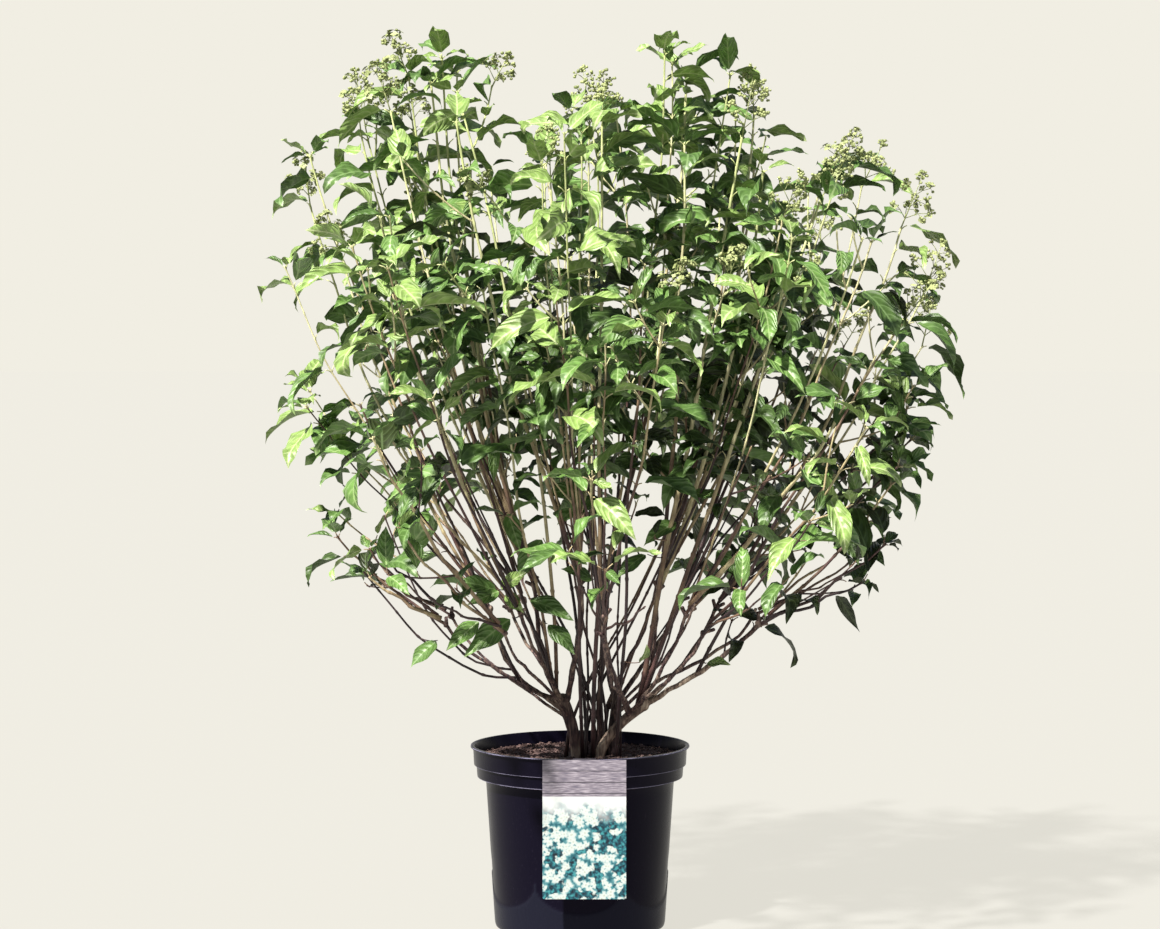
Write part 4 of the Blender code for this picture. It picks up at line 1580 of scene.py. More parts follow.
# Low canes that leave the wood near the ground: (start, two bow points, tip)
LOW_CANES = [
    [Vector(place) for place in cane]
    for cane in (
        ((-0.085, -0.020, 0.392), (-0.160, -0.050, 0.380), (-0.240, -0.070, 0.430), (-0.330, -0.075, 0.555)),
        ((-0.095, -0.010, 0.402), (-0.170, -0.030, 0.400), (-0.230, -0.045, 0.440), (-0.300, -0.050, 0.640)),
        ((0.150, -0.027, 0.369), (0.210, -0.040, 0.416), (0.260, -0.060, 0.440), (0.350, -0.080, 0.580)),
    )
]

# The crown's outline as (across, height of its top) between which shoots end, and its sides by height
TOP_OUTLINE = (
    (-0.60, 1.056), (-0.47, 1.176), (-0.40, 1.226), (-0.34, 1.286),
    (-0.28, 1.350), (-0.15, 1.360), (-0.07, 1.226), (0.00, 1.296),
    (0.08, 1.266), (0.14, 1.336), (0.27, 1.316), (0.31, 1.206),
    (0.44, 1.186), (0.50, 1.086), (0.56, 0.986), (0.70, 0.906),
)
LEFT_SIDE, RIGHT_SIDE = -0.345, 0.475

# Further shoots that make the crown's outline, in the same way as the leading canes
SKYLINE_SHOOTS = [
    (Vector(tip), mark)
    for *tip, mark in (
        (-0.262, -0.04, 1.312, True), (-0.212, -0.02, 1.342, False), (0.232, 0.00, 1.318, False),
        (0.505, -0.03, 0.806, False), (0.490, -0.05, 0.716, False), (0.515, 0.00, 0.756, False),
        (-0.255, -0.03, 1.231, True), (-0.330, 0.03, 1.221, True), (-0.415, -0.02, 1.191, False),
        (-0.225, -0.09, 1.296, False), (0.128, -0.08, 1.341, False), (0.165, 0.02, 1.316, False),
        (0.395, -0.06, 1.166, True), (0.520, -0.05, 0.966, True), (-0.420, -0.04, 0.806, False),
    )
]

# Strong canes in front of the others: (foot, bow and tip, each as (across, height, depth) seen from the front,
# whether it flowers, radius of its foot in mm)
FRONT_CANES = (
    ((0.085, 0.345, -0.02), (0.160, 0.706, -0.20), (0.250, 1.221, -0.16), True, 4.4),
    ((-0.040, 0.360, -0.02), (-0.190, 0.766, -0.22), (-0.292, 1.261, -0.14), True, 2.8),
    ((-0.036, 0.352, -0.01), (-0.034, 0.726, -0.20), (-0.190, 1.291, -0.14), False, 3.2),
    ((0.004, 0.262, -0.02), (-0.006, 0.726, -0.26), (-0.045, 1.141, -0.24), True, 3.0),
    ((0.020, 0.262, -0.02), (0.034, 0.706, -0.26), (0.034, 1.241, -0.18), True, 3.8),
    ((0.093, 0.338, -0.03), (0.215, 0.686, -0.22), (0.372, 1.126, -0.14), True, 4.0),
    ((0.175, 0.400, -0.04), (0.330, 0.686, -0.20), (0.500, 0.936, -0.14), True, 2.8),
    ((-0.090, 0.385, -0.03), (-0.240, 0.706, -0.22), (-0.360, 1.021, -0.14), True, 2.6),
    ((0.057, 0.262, -0.01), (0.075, 0.626, -0.22), (0.100, 1.026, -0.26), False, 3.0),
    ((-0.034, 0.352, -0.015), (-0.085, 0.606, -0.18), (-0.150, 0.986, -0.24), False, 2.6),
)

# Openings through which the wall shows: (across, height, half width, half height), as seen from the front
OPENINGS = (
    (-0.093, 1.301, 0.046, 0.050), (-0.110, 1.218, 0.056, 0.034), (-0.090, 1.146, 0.026, 0.020),
    (-0.216, 1.166, 0.024, 0.026), (-0.220, 1.276, 0.034, 0.026), (0.275, 1.215, 0.034, 0.026),
    (-0.340, 1.146, 0.056, 0.040), (-0.410, 1.126, 0.036, 0.044), (-0.270, 1.236, 0.026, 0.026),
    (-0.160, 1.076, 0.032, 0.024), (-0.435, 0.961, 0.056, 0.040), (-0.370, 1.026, 0.028, 0.020),
    (0.005, 1.166, 0.030, 0.018), (-0.025, 1.061, 0.044, 0.020), (0.080, 1.351, 0.036, 0.040),
    (0.185, 1.171, 0.034, 0.020), (0.290, 1.268, 0.034, 0.034), (0.340, 1.296, 0.060, 0.050),
    (0.330, 1.191, 0.040, 0.036), (0.402, 1.221, 0.044, 0.036), (0.380, 1.091, 0.050, 0.040),
    (0.520, 1.091, 0.040, 0.040), (0.470, 1.026, 0.032, 0.030), (0.430, 0.946, 0.050, 0.032),
    (0.430, 0.846, 0.030, 0.030), (0.280, 0.846, 0.034, 0.026), (0.400, 0.776, 0.036, 0.034),
    (0.340, 1.121, 0.032, 0.026), (0.462, 0.900, 0.030, 0.024), (0.525, 0.906, 0.026, 0.024),
    (-0.278, 1.152, 0.032, 0.026), (-0.340, 1.030, 0.032, 0.024), (-0.216, 0.596, 0.036, 0.026),
    (-0.278, 1.290, 0.026, 0.024), (-0.340, 0.843, 0.044, 0.032), (-0.215, 0.776, 0.040, 0.030),
    (-0.290, 0.726, 0.030, 0.024), (-0.270, 0.906, 0.030, 0.020), (-0.215, 1.196, 0.034, 0.024),
    (-0.030, 1.206, 0.026, 0.018), (-0.335, 0.646, 0.030, 0.040), (-0.430, 0.706, 0.022, 0.018),
    (-0.432, 1.238, 0.024, 0.018), (-0.175, 1.216, 0.036, 0.030), (-0.480, 1.090, 0.050, 0.040),
    (0.465, 1.110, 0.040, 0.030), (-0.340, 0.596, 0.040, 0.030), (-0.170, 0.656, 0.044, 0.026),
    (-0.290, 1.286, 0.020, 0.022), (-0.030, 0.610, 0.020, 0.030), (-0.185, 0.596, 0.060, 0.036),
    (0.031, 0.596, 0.030, 0.022), (0.350, 0.656, 0.040, 0.026), (0.525, 0.596, 0.050, 0.050),
    (-0.310, 0.526, 0.080, 0.048), (0.460, 0.526, 0.090, 0.048), (0.350, 0.566, 0.060, 0.034),
    (0.270, 0.526, 0.044, 0.034), (0.080, 0.566, 0.030, 0.030), (-0.290, 0.466, 0.100, 0.040),
    (0.370, 0.466, 0.090, 0.036), (0.160, 0.486, 0.060, 0.034), (-0.020, 0.966, 0.020, 0.018),
)
EYE = Vector((0.0, -4.3, 0.868))


def outline_top(across: float) -> float:
    """Height of the crown's top at this distance across."""
    return float(np.interp(across, [x for x, _ in TOP_OUTLINE], [z for _, z in TOP_OUTLINE]))


def seen(across: float, height: float, depth: float) -> Vector:
    """The place at this depth that shows at this distance across and this height from the front."""
    share = (EYE.y - depth) / EYE.y
    return Vector((across * share, depth, EYE.z + (height - EYE.z) * share))


@dataclass
class Growth:
    """What a cane shares with its twigs and leaves: its mass, the tones it deals them, and its draws."""

    mass: Mass
    tints: list[Tint]
    rng: Random


@dataclass
class Crown:
    """Everything that grows beyond the knuckles."""

    masses: list[Mass]
    shoots: list[Shoot] = field(default_factory=list)
    stalks: list[tuple[Vector, Vector, Vector]] = field(default_factory=list)
    leaves: list[Leaf] = field(default_factory=list)
    node_spacing: float = 65 * MM
    leaf_length: float = 103 * MM
    three_leaved: float = 0.07  # share of nodes with three leaves in place of two
    side_shoot_share: float = 0.19  # of the leafy nodes
    bare_shoot_share: float = 0.10  # of the last nodes under them
    flowering_share: float = 0.5  # of the canes inside the outline that could flower
    opening: float = 95 * MM  # size of the gaps in the leaves
    bare_share: float = -0.16  # where the pattern of gaps falls under this, no leaf grows
    leafy_tip: float = 0.17  # length below a cane's tip that always bears leaves
    leaf_cell: float = 16 * MM  # no two leaves have their middles in the same cell
    cane_sway: float = 3.4 * MM
    cane_flowers_above: float = 0.88
    twig_flowers_above: float = 0.95
    twig_lengths: tuple[float, float] = (60, 150)  # in mm, as the next one
    stalk_lengths: tuple[float, float] = (10, 18)
    open_at_tip: float = 0.45  # share of the leaves in an opening that are left out, at a cane's tip
    open_below: float = 0.94  # and below it
    stray_at_tip: float = -0.12  # how far a leaf may stray out of its mass, at a cane's tip
    stray_below: float = -0.05  # and below it
    usual_feet: tuple[float, ...] = (1.8, 2.0, 2.3, 2.6, 3.0, 3.7)  # radii in mm
    young_feet: tuple[float, ...] = (1.6, 1.9, 2.2, 2.8)
    sunward: Vector = field(default_factory=lambda: Vector((-0.38, -0.62, 0.68)).normalized())
    taken: set[tuple[int, int, int]] = field(default_factory=set)
    heeds_openings: bool = True  # the low twigs grow across them

    def grow(self) -> None:
        """Grows every cane with its side shoots and leaves."""
        for mass in self.masses:
            rng = Random(SEED * 100 + mass.order)
            drawn = mass.drawn_knuckle - mass.knuckle
            for (start, bow, tip), flowers in zip(mass.canes, mass.heads):
                controls = self.within_outline((start + drawn, bow + drawn * 0.35, tip))
                flowers = flowers and (is_leading(tip) or rng.random() < self.flowering_share)
                self.grow_cane(mass, controls, flowers, 0.0, rng)
        for mass in self.masses:
            self.grow_basal_canes(mass, Random(SEED * 200 + mass.order))
        rng = Random(SEED * 400)
        for tip, flowers in SKYLINE_SHOOTS:
            mass = self.nearest_mass(tip)
            start = mass.drawn_knuckle + mass.axis * rng.uniform(4, 26) * MM
            middle = start.lerp(tip, 0.5) + outward(tip - start) * 0.06 * (tip - start).length
            self.grow_cane(mass, (start, middle, tip), flowers, 0.0, rng)
        rng = Random(SEED * 500)
        for *controls, flowers, thick in FRONT_CANES:
            places = [seen(*place) for place in controls]
            places[0] = self.rooted(places[0])
            self.grow_cane(self.nearest_mass(places[-1]), places, flowers, 0.0, rng, thick)
        rng = Random(SEED * 300)
        for controls in LOW_CANES:
            places = (self.rooted(controls[0]), *controls[1:])
            self.grow_cane(self.nearest_mass(controls[-1]), places, False, -0.12, rng)
        self.grow_low_twigs(rng)
        self.grow_low_leaves(rng)

    def within_outline(self, controls: Sequence[Vector]) -> Sequence[Vector]:
        """The cane drawn back until its tip lies inside the crown's outline, unless it is a leading shoot.

        Args:
            controls: its foot, bow and tip.

        Returns:
            The foot, bow and tip it gets.
        """
        start, bow, tip = controls
        if is_leading(tip):
            return controls
        for _ in range(14):
            x, z = seen_across(tip), tip.z * (1 + 0.10 * (tip.y / 0.45) ** 2) ** 0.5
            if LEFT_SIDE < x < RIGHT_SIDE and z < outline_top(x) and not self.in_opening(tip):
                break
            bow, tip = start.lerp(bow, 0.96), start.lerp(tip, 0.96)
        return start, bow, tip

    def nearest_mass(self, place: Vector) -> Mass:
        """The mass whose axis points nearest to this place."""
        way = (place - FOCUS).normalized()
        return max(self.masses, key=lambda mass: mass.axis.dot(way))

    def rooted(self, foot: Vector) -> Vector:
        """The foot of a cane drawn into the nearest old wood, or sunk into the compost if it stands there.

        Args:
            foot: where the cane would start.

        Returns:
            Where it starts.
        """
        if foot.z < SOIL_TOP + 4 * MM:
            return foot - UP * 6 * MM
        wood = OldWood(self.masses)
        trunks = wood.trunk_paths()
        lines = [*trunks.values(), *(wood.bough_path(mass, trunks) for mass in self.masses)]
        places = [a.lerp(b, k / 4) for line in lines for a, b in zip(line, line[1:]) for k in range(4)]
        return foot.lerp(min(places, key=lambda place: (place - foot).length), 0.85)

    def grow_basal_canes(self, mass: Mass, rng: Random) -> None:
        """Young canes that start low on the wood and rise past the knuckle into the mass.

        Args:
            mass: the mass that they reach.
            rng: source of draws.
        """
        inner = mass.name == "top" or mass.name.startswith("inner")
        wood = OldWood(self.masses)
        bough = wood.bough_path(mass, wood.trunk_paths())
        chance = (1.0 if mass.axis.x > 0 else 0.4) * (0.25 if mass.name.startswith("outer") else 0.6)
        for _ in range(2 if inner else int(rng.random() < chance)):
            side = square_to(mass.axis, rng.uniform(0, math.tau))
            if inner:
                foot = Vector((0.016 + rng.uniform(-0.045, 0.055), 0.012 + rng.uniform(-0.03, 0.04), SOIL_TOP - 0.004))
                rise = foot + UP * 0.13
            else:
                foot, heading = along(bough, path_length(bough) * rng.uniform(0.12, 0.50))
                rise = foot + (heading + UP * 0.6).normalized() * 0.05
            past = mass.drawn_knuckle + side * rng.uniform(14, 30) * MM
            lean = math.radians(rng.uniform(1.5, 6.0))
            way = (mass.axis * math.cos(lean) + side * math.sin(lean)).normalized()
            tip = FOCUS + way * crown_reach(way) * rng.uniform(0.62, 0.90)
            _, _, tip = self.within_outline((foot, past, tip))
            self.grow_cane(mass, (foot, rise, past, tip), rng.random() < 0.25, 0.10, rng)

    def grow_cane(
        self,
        mass: Mass,
        controls: Sequence[Vector],
        flowers: bool,
        bare: float,
        rng: Random,
        thick: float = 0.0,
    ) -> None:
        """One cane, from its foot to its tip.

        Args:
            mass: the mass it grows in.
            controls: control points of its line.
            flowers: whether it ends in a flower head.
            bare: how much further out than on other canes its leaves start.
            rng: source of draws.
            thick: radius of its foot in mm, or nothing for one of the usual ones.
        """
        line = self.waver(bezier(controls, 17), self.cane_sway, rng)
        length = path_length(line)
        nodes = self.node_distances(length, self.node_spacing, rng)
        thick = thick or rng.choice(self.young_feet if bare > 0 else self.usual_feet) * rng.uniform(0.9, 1.1)
        path, radii = self.jointed(line, nodes, thick * MM, (0.75 + 0.24 * thick) * MM)
        flowers = flowers and line[-1].z > self.cane_flowers_above
        self.shoots.append(Shoot(path, radii, 6, rng.uniform(0.62, 1.0) if flowers else 0.0))
        growth = Growth(mass, self.spray_tints(controls[-1], rng), rng)
        turn = rng.uniform(0, math.tau)
        for count, distance in enumerate(nodes):
            place, tangent = along(line, distance)
            turn += math.pi / 2 + rng.gauss(0, 0.12)
            start = leaf_line(place) + bare
            far = (place - FOCUS).length
            if far < start + rng.uniform(-0.03, 0.08):
                if far > start - 0.14 and rng.random() < self.bare_shoot_share:
                    self.grow_side_shoot(growth, place, tangent, turn)
                continue
            at_tip = count == 0 and not flowers
            if at_tip:
                self.grow_whorl(growth, place, tangent, turn + math.pi / 2, 0.5, True)
            if length - distance < self.leafy_tip or self.leafy(place, length - distance):
                self.grow_whorl(growth, place, tangent, turn, 1.0, at_tip)
            if far > start + 0.08 and count > 0 and rng.random() < self.side_shoot_share:
                self.grow_side_shoot(growth, place, tangent, turn + rng.choice((0.0, math.pi)))

    def leafy(self, place: Vector, below_tip: float) -> bool:
        """Whether leaves grow at a node, outside the gaps in the crown, which widen to its sides and foot.

        Args:
            place: the node.
            below_tip: how far it lies from the tip of its cane, as old nodes have dropped more leaves.

        Returns:
            Whether it has leaves.
        """
        side = max(0.0, abs(place.x - 0.06) - 0.16) * 1.3
        foot = max(0.0, 0.80 - place.z) * (0.4 if place.y < 0 else 0.9)
        old = max(0.0, below_tip - 0.25) * 0.85
        return noise.noise(place / self.opening) > self.bare_share + side + foot + old

    def in_opening(self, place: Vector) -> bool:
        """Whether a place lies in one of the openings, as seen from the front.

        Args:
            place: the place.

        Returns:
            Whether it does.
        """
        share = EYE.y / (EYE.y - place.y)
        x, z = place.x * share, EYE.z + (place.z - EYE.z) * share
        return self.heeds_openings and any(((x - a) / w) ** 2 + ((z - b) / h) ** 2 < 1 for a, b, w, h in OPENINGS)

    def shaded(self, tint: Tint, place: Vector, rng: Random) -> Tint:
        """The tone a leaf gets, with painted shade: the deeper inside the crown, the darker.

        Args:
            tint: the tone its spray gives it.
            place: the place of its node.
            rng: source of draws.

        Returns:
            The tone.
        """
        depth = 1 - (place - FOCUS).length / crown_reach((place - FOCUS).normalized())
        tones = list(Tint)
        darker = (rng.random() < 3.0 * depth - 0.15) + (rng.random() < 2.2 * depth - 0.15)
        return tones[min(len(tones) - 2, tones.index(tint) + darker)] if darker else tint

    def grow_side_shoot(self, growth: Growth, place: Vector, tangent: Vector, turn: float) -> None:
        """A finer twig from a leaf axil, with two or three pairs of smaller leaves.

        Args:
            growth: what its leaves share.
            place: the axil.
            tangent: the cane's direction there.
            turn: angle round the cane.
        """
        rng = growth.rng
        away = square_to(tangent, turn)
        length = rng.uniform(*self.twig_lengths) * MM
        tip = place + (tangent * 1.1 + away * 0.8).normalized() * length
        beyond = (tip - FOCUS).length > crown_reach((tip - FOCUS).normalized())
        if beyond or not in_wedge(tip, growth.mass.planes, -0.03):
            return
        x = seen_across(tip)
        if not LEFT_SIDE - 0.05 < x < RIGHT_SIDE + 0.05 or tip.z > outline_top(x):
            return
        flowers = rng.random() < 0.14 and tip.z > self.twig_flowers_above
        self.grow_twig(growth, (place, place + (tangent + away).normalized() * length * 0.5, tip), flowers)

    def grow_twig(self, growth: Growth, controls: Sequence[Vector], flowers: bool, vigour: float = 0.75) -> None:
        """A fine twig with its leaves.

        Args:
            growth: what it shares with its cane.
            controls: control points of its line.
            flowers: whether it ends in a flower head.
            vigour: size of its leaves, 1 being those of a cane.
        """
        rng, line = growth.rng, bezier(controls, 6)
        nodes = self.node_distances(path_length(line), self.node_spacing * 0.75, rng)
        path, radii = self.jointed(line, nodes, 1.6 * MM, 1.1 * MM)
        self.shoots.append(Shoot(path, radii, 5, rng.uniform(0.5, 0.75) if flowers else 0.0))
        spin = rng.uniform(0, math.tau)
        for count, distance in enumerate(nodes):
            spin += math.pi / 2
            size = vigour * rng.uniform(0.85, 1.15)
            self.grow_whorl(growth, *along(line, distance), spin, size, count == 0 and not flowers)

    def nearest_spot(self, spots: Sequence[Vector], place: Vector, least: float) -> Vector:
        """The spot nearest to a place that doesn't lie above it and is at least this far away."""
        near = (spot for spot in spots if least < (spot - place).length and spot.z < place.z + 10 * MM)
        return min(near, key=lambda spot: (spot - place).length)

    def grow_low_twigs(self, rng: Random) -> None:
        """The few leafy twigs under the crown, each from the nearest cane.

        Args:
            rng: source of draws.
        """
        self.heeds_openings = False
        spots = [point for shoot in self.shoots for point in shoot.path]
        for tip, size in LOW_TWIGS:
            near = self.nearest_spot(spots, tip, 30 * MM)
            # painted light: twigs on the left, the sunny side, get a lighter tone
            tints = [Tint.LIME if tip.x < 0 else Tint.LEAF, Tint.FRESH, Tint.FRESH]
            growth = Growth(self.nearest_mass(tip), tints, rng)
            self.grow_twig(growth, (near, near.lerp(tip, 0.5) - UP * 4 * MM, tip), False, size)

    def grow_low_leaves(self, rng: Random) -> None:
        """The few single leaves under the crown, each on a thin twig from the nearest cane.

        Args:
            rng: source of draws.
        """
        spots = [point for shoot in self.shoots for point in shoot.path]
        for at, end, tint in LOW_LEAVES:
            base, tip = seen(*at, -0.11), seen(*end, -0.14)
            near = self.nearest_spot(spots, base, 8 * MM)
            twig = bezier((near, near.lerp(base, 0.5) - UP * 4 * MM, base), 5)
            self.shoots.append(Shoot(twig, taper(1.2 * MM, 0.8 * MM, 5), 4))
            way = (tip - base).normalized()
            toward = Vector((rng.gauss(-0.1, 0.2), -1.0, rng.uniform(0.5, 1.1)))
            up = (toward - way * toward.dot(way)).normalized()
            bend, droop, fold, wave = rng.uniform(0.1, 0.5), rng.uniform(0, 0.5), rng.uniform(0.2, 0.55), 0.03
            length, twist = (tip - base).length * 1.10, rng.gauss(0, 0.15)
            phase = rng.uniform(0, math.tau)
            self.leaves.append(Leaf(base, way, up, length, bend, droop, fold, wave, phase, twist, tint))

    def node_distances(self, length: float, spacing: float, rng: Random) -> list[float]:
        """Distances of the nodes from the foot of a shoot, from its tip down, closer together near the tip.

        Args:
            length: the shoot's length.
            spacing: usual distance between nodes.
            rng: source of draws.

        Returns:
            The distances.
        """
        made, distance, share = [], length - 6 * MM, 0.55
        while distance > 18 * MM:
            made.append(distance)
            distance -= spacing * share * rng.uniform(0.85, 1.15)
            share = min(1.1, share + 0.12)
        return made

    def waver(self, line: list[Vector], size: float, rng: Random) -> list[Vector]:
        """The line with a slight irregular sway that leaves both ends where they are.

        Args:
            line: points of the line.
            size: the most that it sways.
            rng: source of draws.

        Returns:
            The points moved.
        """
        a = (line[-1] - line[0]).orthogonal().normalized()
        b = (line[-1] - line[0]).normalized().cross(a)
        first, second = rng.uniform(0, math.tau), rng.uniform(0, math.tau)
        made = []
        for k, point in enumerate(line):
            share = math.sin(math.pi * k / (len(line) - 1))
            sway = a * math.sin(first + 0.9 * k) + b * math.sin(second + 0.7 * k)
            made.append(point + sway * size * share)
        return made

    def jointed(
        self, line: list[Vector], nodes: list[float], foot: float, tip: float
    ) -> tuple[list[Vector], list[float]]:
        """A shoot that swells a little at each node.

        Args:
            line: points of its centre line.
            nodes: distances of the nodes from its foot.
            foot: its radius at the foot.
            tip: its radius at the tip.

        Returns:
            Points and radii.
        """
        length = path_length(line)
        marks = [(0.0, 1.15), (length, 0.55)]
        for distance in nodes:
            marks += [(distance - 5 * MM, 1.0), (distance, 1.32), (distance + 4 * MM, 1.0)]
            marks.append((distance - 24 * MM, 1.0))
        marks = sorted((d, swell) for d, swell in marks if 0.0 <= d <= length)
        path = [along(line, d)[0] for d, _ in marks]
        radii = [(foot + (tip - foot) * d / length) * swell for d, swell in marks]
        return path, radii

    def spray_tints(self, tip: Vector, rng: Random) -> list[Tint]:
        """The two or three tones that a spray's leaves share, with painted light and shade: lighter the more its place
        faces the sun, and lighter at the lower left.

        Args:
            tip: where the spray ends.
            rng: source of draws.

        Returns:
            The tones to draw from.
        """
        sun = (tip - CROWN_CENTRE).dot(self.sunward) / 0.55
        # painted light: sprays at the lower left, under the crown, get lighter tones
        level = 2.1 - 1.4 * sun - (0.9 if tip.x < 0 and tip.z < 0.72 else 0.0) + rng.gauss(0, 0.9)
        tones = list(Tint)
        near = min(len(tones) - 2, max(0, int(level)))
        return [tones[near], tones[near], tones[min(near + 1, len(tones) - 1)], tones[max(near - 1, 0)]]

    def grow_whorl(
        self, growth: Growth, place: Vector, tangent: Vector, turn: float, vigour: float, at_tip: bool
    ) -> None:
        """The two or three leaves of a node.

        Args:
            growth: what the leaves share.
            place: the node.
            tangent: the shoot's direction there.
            turn: angle of the first leaf round the shoot.
            vigour: size of the leaves, 1 being usual.
            at_tip: whether the node is near the tip.
        """
        rng = growth.rng
        count = 3 if rng.random() < self.three_leaved else 2
        for k in range(count):
            spin = turn + math.tau * k / count + rng.gauss(0, 0.15)
            tint = rng.choice(growth.tints)
            self.grow_leaf(growth, place, tangent, spin, vigour, at_tip, tint)

    def grow_leaf(
        self, growth: Growth, place: Vector, tangent: Vector, spin: float, vigour: float, at_tip: bool, tint: Tint
    ) -> None:
        """One leaf on its stalk, left out where it would leave its mass or lie in another leaf.

        Args:
            growth: what the leaf shares with others.
            place: the node.
            tangent: the shoot's direction there.
            spin: the leaf's angle round the shoot.
            vigour: its size, 1 being usual.
            at_tip: whether the node is near the tip.
            tint: the tone its spray gives it.
        """
        rng = growth.rng
        away = square_to(tangent, spin)
        outer = outward(place - FOCUS)
        stalk_way = (away + tangent * 0.8 + UP * 0.2).normalized()
        base = place + stalk_way * rng.uniform(*self.stalk_lengths) * MM * vigour
        rise = rng.uniform(0.20, 1.15) if at_tip else rng.uniform(-0.20, 0.70)
        way = (away + UP * rise + outer * 0.20).normalized()
        across = way.cross(UP)
        facing = (UP + outer * 0.12 + across * rng.gauss(0, 0.50)).normalized()
        across = way.cross(facing).normalized()
        length = self.leaf_length * vigour * rng.uniform(0.70, 1.12) * (0.82 if at_tip else 1.0)
        middle = base + way * length * 0.5
        if not in_wedge(middle, growth.mass.planes, self.stray_at_tip if at_tip else self.stray_below):
            return
        cell = tuple(int(c // self.leaf_cell) for c in middle)
        open_here = self.in_opening(middle) or self.in_opening(base.lerp(middle, 1.7))
        if open_here and rng.random() < (self.open_at_tip if at_tip else self.open_below):
            return
        if cell in self.taken and not at_tip:
            return
        self.taken.add(cell)
        self.stalks.append((place, place.lerp(base, 0.5) + tangent * 1.5 * MM, base))
        up = across.cross(way).normalized()
        bend = rng.uniform(0.2, 0.9) if at_tip else rng.uniform(0.35, 1.25)
        droop, fold, wave = rng.uniform(0.0, 1.2), rng.uniform(0.30, 1.05), rng.uniform(0.02, 0.07)
        phase, twist = rng.uniform(0, math.tau), rng.gauss(0, 0.38)
        tone = self.shaded(tint, middle, rng)
        self.leaves.append(Leaf(base, way, up, length, bend, droop, fold, wave, phase, twist, tone))


@dataclass
class Canes:
    """All canes, side shoots and leaf stalks."""

    crown: Crown

    def build(self) -> Object:
        """Joins and finishes the canes.

        Returns:
            The finished canes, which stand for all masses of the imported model.
        """
        bundle = MeshBundle()
        rng = Random(SEED + 4)
        for shoot in self.crown.shoots:
            points, faces = tube(shoot.path, shoot.radii, shoot.sides)
            bundle.add(points, faces, 0, np.full((len(points), 2), rng.random()))
        for stalk in self.crown.stalks:
            points, faces = tube(stalk, (1.3 * MM, 1.0 * MM, 0.9 * MM), 3)
            bundle.add(points, faces, 0, np.full((len(points), 2), 0.8))
        nodes = ["foliage_" + mass.name for mass in self.crown.masses]
        return finish_piece(bundle.build("canes"), "canes", [CaneBark().build()], nodes)


@dataclass
class Leaves:
    """The leaf blades, one piece to each tone."""

    crown: Crown
    width: float = 0.46  # as a share of the length
    rows: tuple[float, ...] = (0.06, 0.16, 0.28, 0.41, 0.55, 0.69, 0.81, 0.91)
    widths: tuple[float, ...] = (0.40, 0.77, 0.96, 1.00, 0.91, 0.66, 0.36, 0.13)
    columns: tuple[float, ...] = (-1.0, -0.5, 0.0, 0.5, 1.0)

    def pattern(self) -> tuple[np.ndarray, np.ndarray, list[list[int]]]:
        """Lays a leaf out flat.

        Returns:
            The flat leaf: (across, along) of its corners, their half widths, and its faces.
        """
        places, halves = [(0.0, 0.0)], [0.0]
        for row, half in zip(self.rows, self.widths):
            places += [(column, row) for column in self.columns]
            halves += [half] * len(self.columns)
        places.append((0.0, 1.0))
        halves.append(0.0)
        n, last = len(self.columns), len(places) - 1
        faces = [[0, 1 + c, 2 + c] for c in range(n - 1)]
        for r in range(len(self.rows) - 1):
            i = 1 + n * r
            faces += [[i + c, i + n + c, i + n + c + 1, i + c + 1] for c in range(n - 1)]
        i = last - n
        faces += [[i + c, last, i + c + 1] for c in range(n - 1)]
        return np.array(places), np.array(halves), faces

    def shape(self, leaf: Leaf, places: np.ndarray, halves: np.ndarray) -> np.ndarray:
        """Corners of one leaf, arched, folded, waved and twisted.

        Args:
            leaf: the leaf.
            places: (across, along) of the flat leaf's corners.
            halves: half width at each corner.

        Returns:
            The corners.
        """
        across = np.array(leaf.way.cross(leaf.up).normalized())
        way, up = np.array(leaf.way), np.array(leaf.up)
        u, v = places[:, 0], places[:, 1]
        steps = np.linspace(0.0, 1.0, 25)
        turns = leaf.bend * steps + leaf.droop * steps**4
        forward = np.interp(v, steps, np.cumsum(np.cos(turns)) / len(steps))
        drop = np.interp(v, steps, np.cumsum(np.sin(turns)) / len(steps))
        arc = leaf.bend * v + leaf.droop * v**4
        normal = np.cos(arc)[:, None] * up + np.sin(arc)[:, None] * way
        spin = leaf.twist * v
        side = np.cos(spin)[:, None] * across + np.sin(spin)[:, None] * normal
        face = np.cos(spin)[:, None] * normal - np.sin(spin)[:, None] * across
        half = halves * self.width / 2
        lift = np.abs(u) * half * math.sin(leaf.fold) - 0.35 * half * u**2 * math.sin(leaf.fold + 0.25)
        lift += leaf.wave * u**2 * np.sin(12.0 * v + leaf.phase + 1.7 * np.sign(u))
        lift += leaf.wave * 0.8 * np.sin(7.0 * v + leaf.phase) * v
        made = forward[:, None] * way - drop[:, None] * up
        made = made + (u * half * math.cos(leaf.fold))[:, None] * side + lift[:, None] * face
        return np.array(leaf.base) + made * leaf.length

    def build(self) -> list[Object]:
        """Joins and finishes the leaves.

        Returns:
            One finished piece to each tone.
        """
        places, halves, faces = self.pattern()
        uv = np.stack([places[:, 0] * halves * 0.5 + 0.5, places[:, 1]], axis=1)
        made = []
        for tint in Tint:
            bundle = MeshBundle()
            for leaf in self.crown.leaves:
                if leaf.tint is tint:
                    bundle.add(self.shape(leaf, places, halves), faces, 0, uv)
            if bundle.faces:
                name = "leaves_" + tint.name.lower()
                obj = bundle.build(name)
                made.append(finish_piece(obj, name, [LeafBlade(tint).build()], ()))
        return made


@dataclass(frozen=True)
class HeadHabit:
    """How one flower head opens: its share of open florets and of green buds."""

    open_share: float
    green_share: float


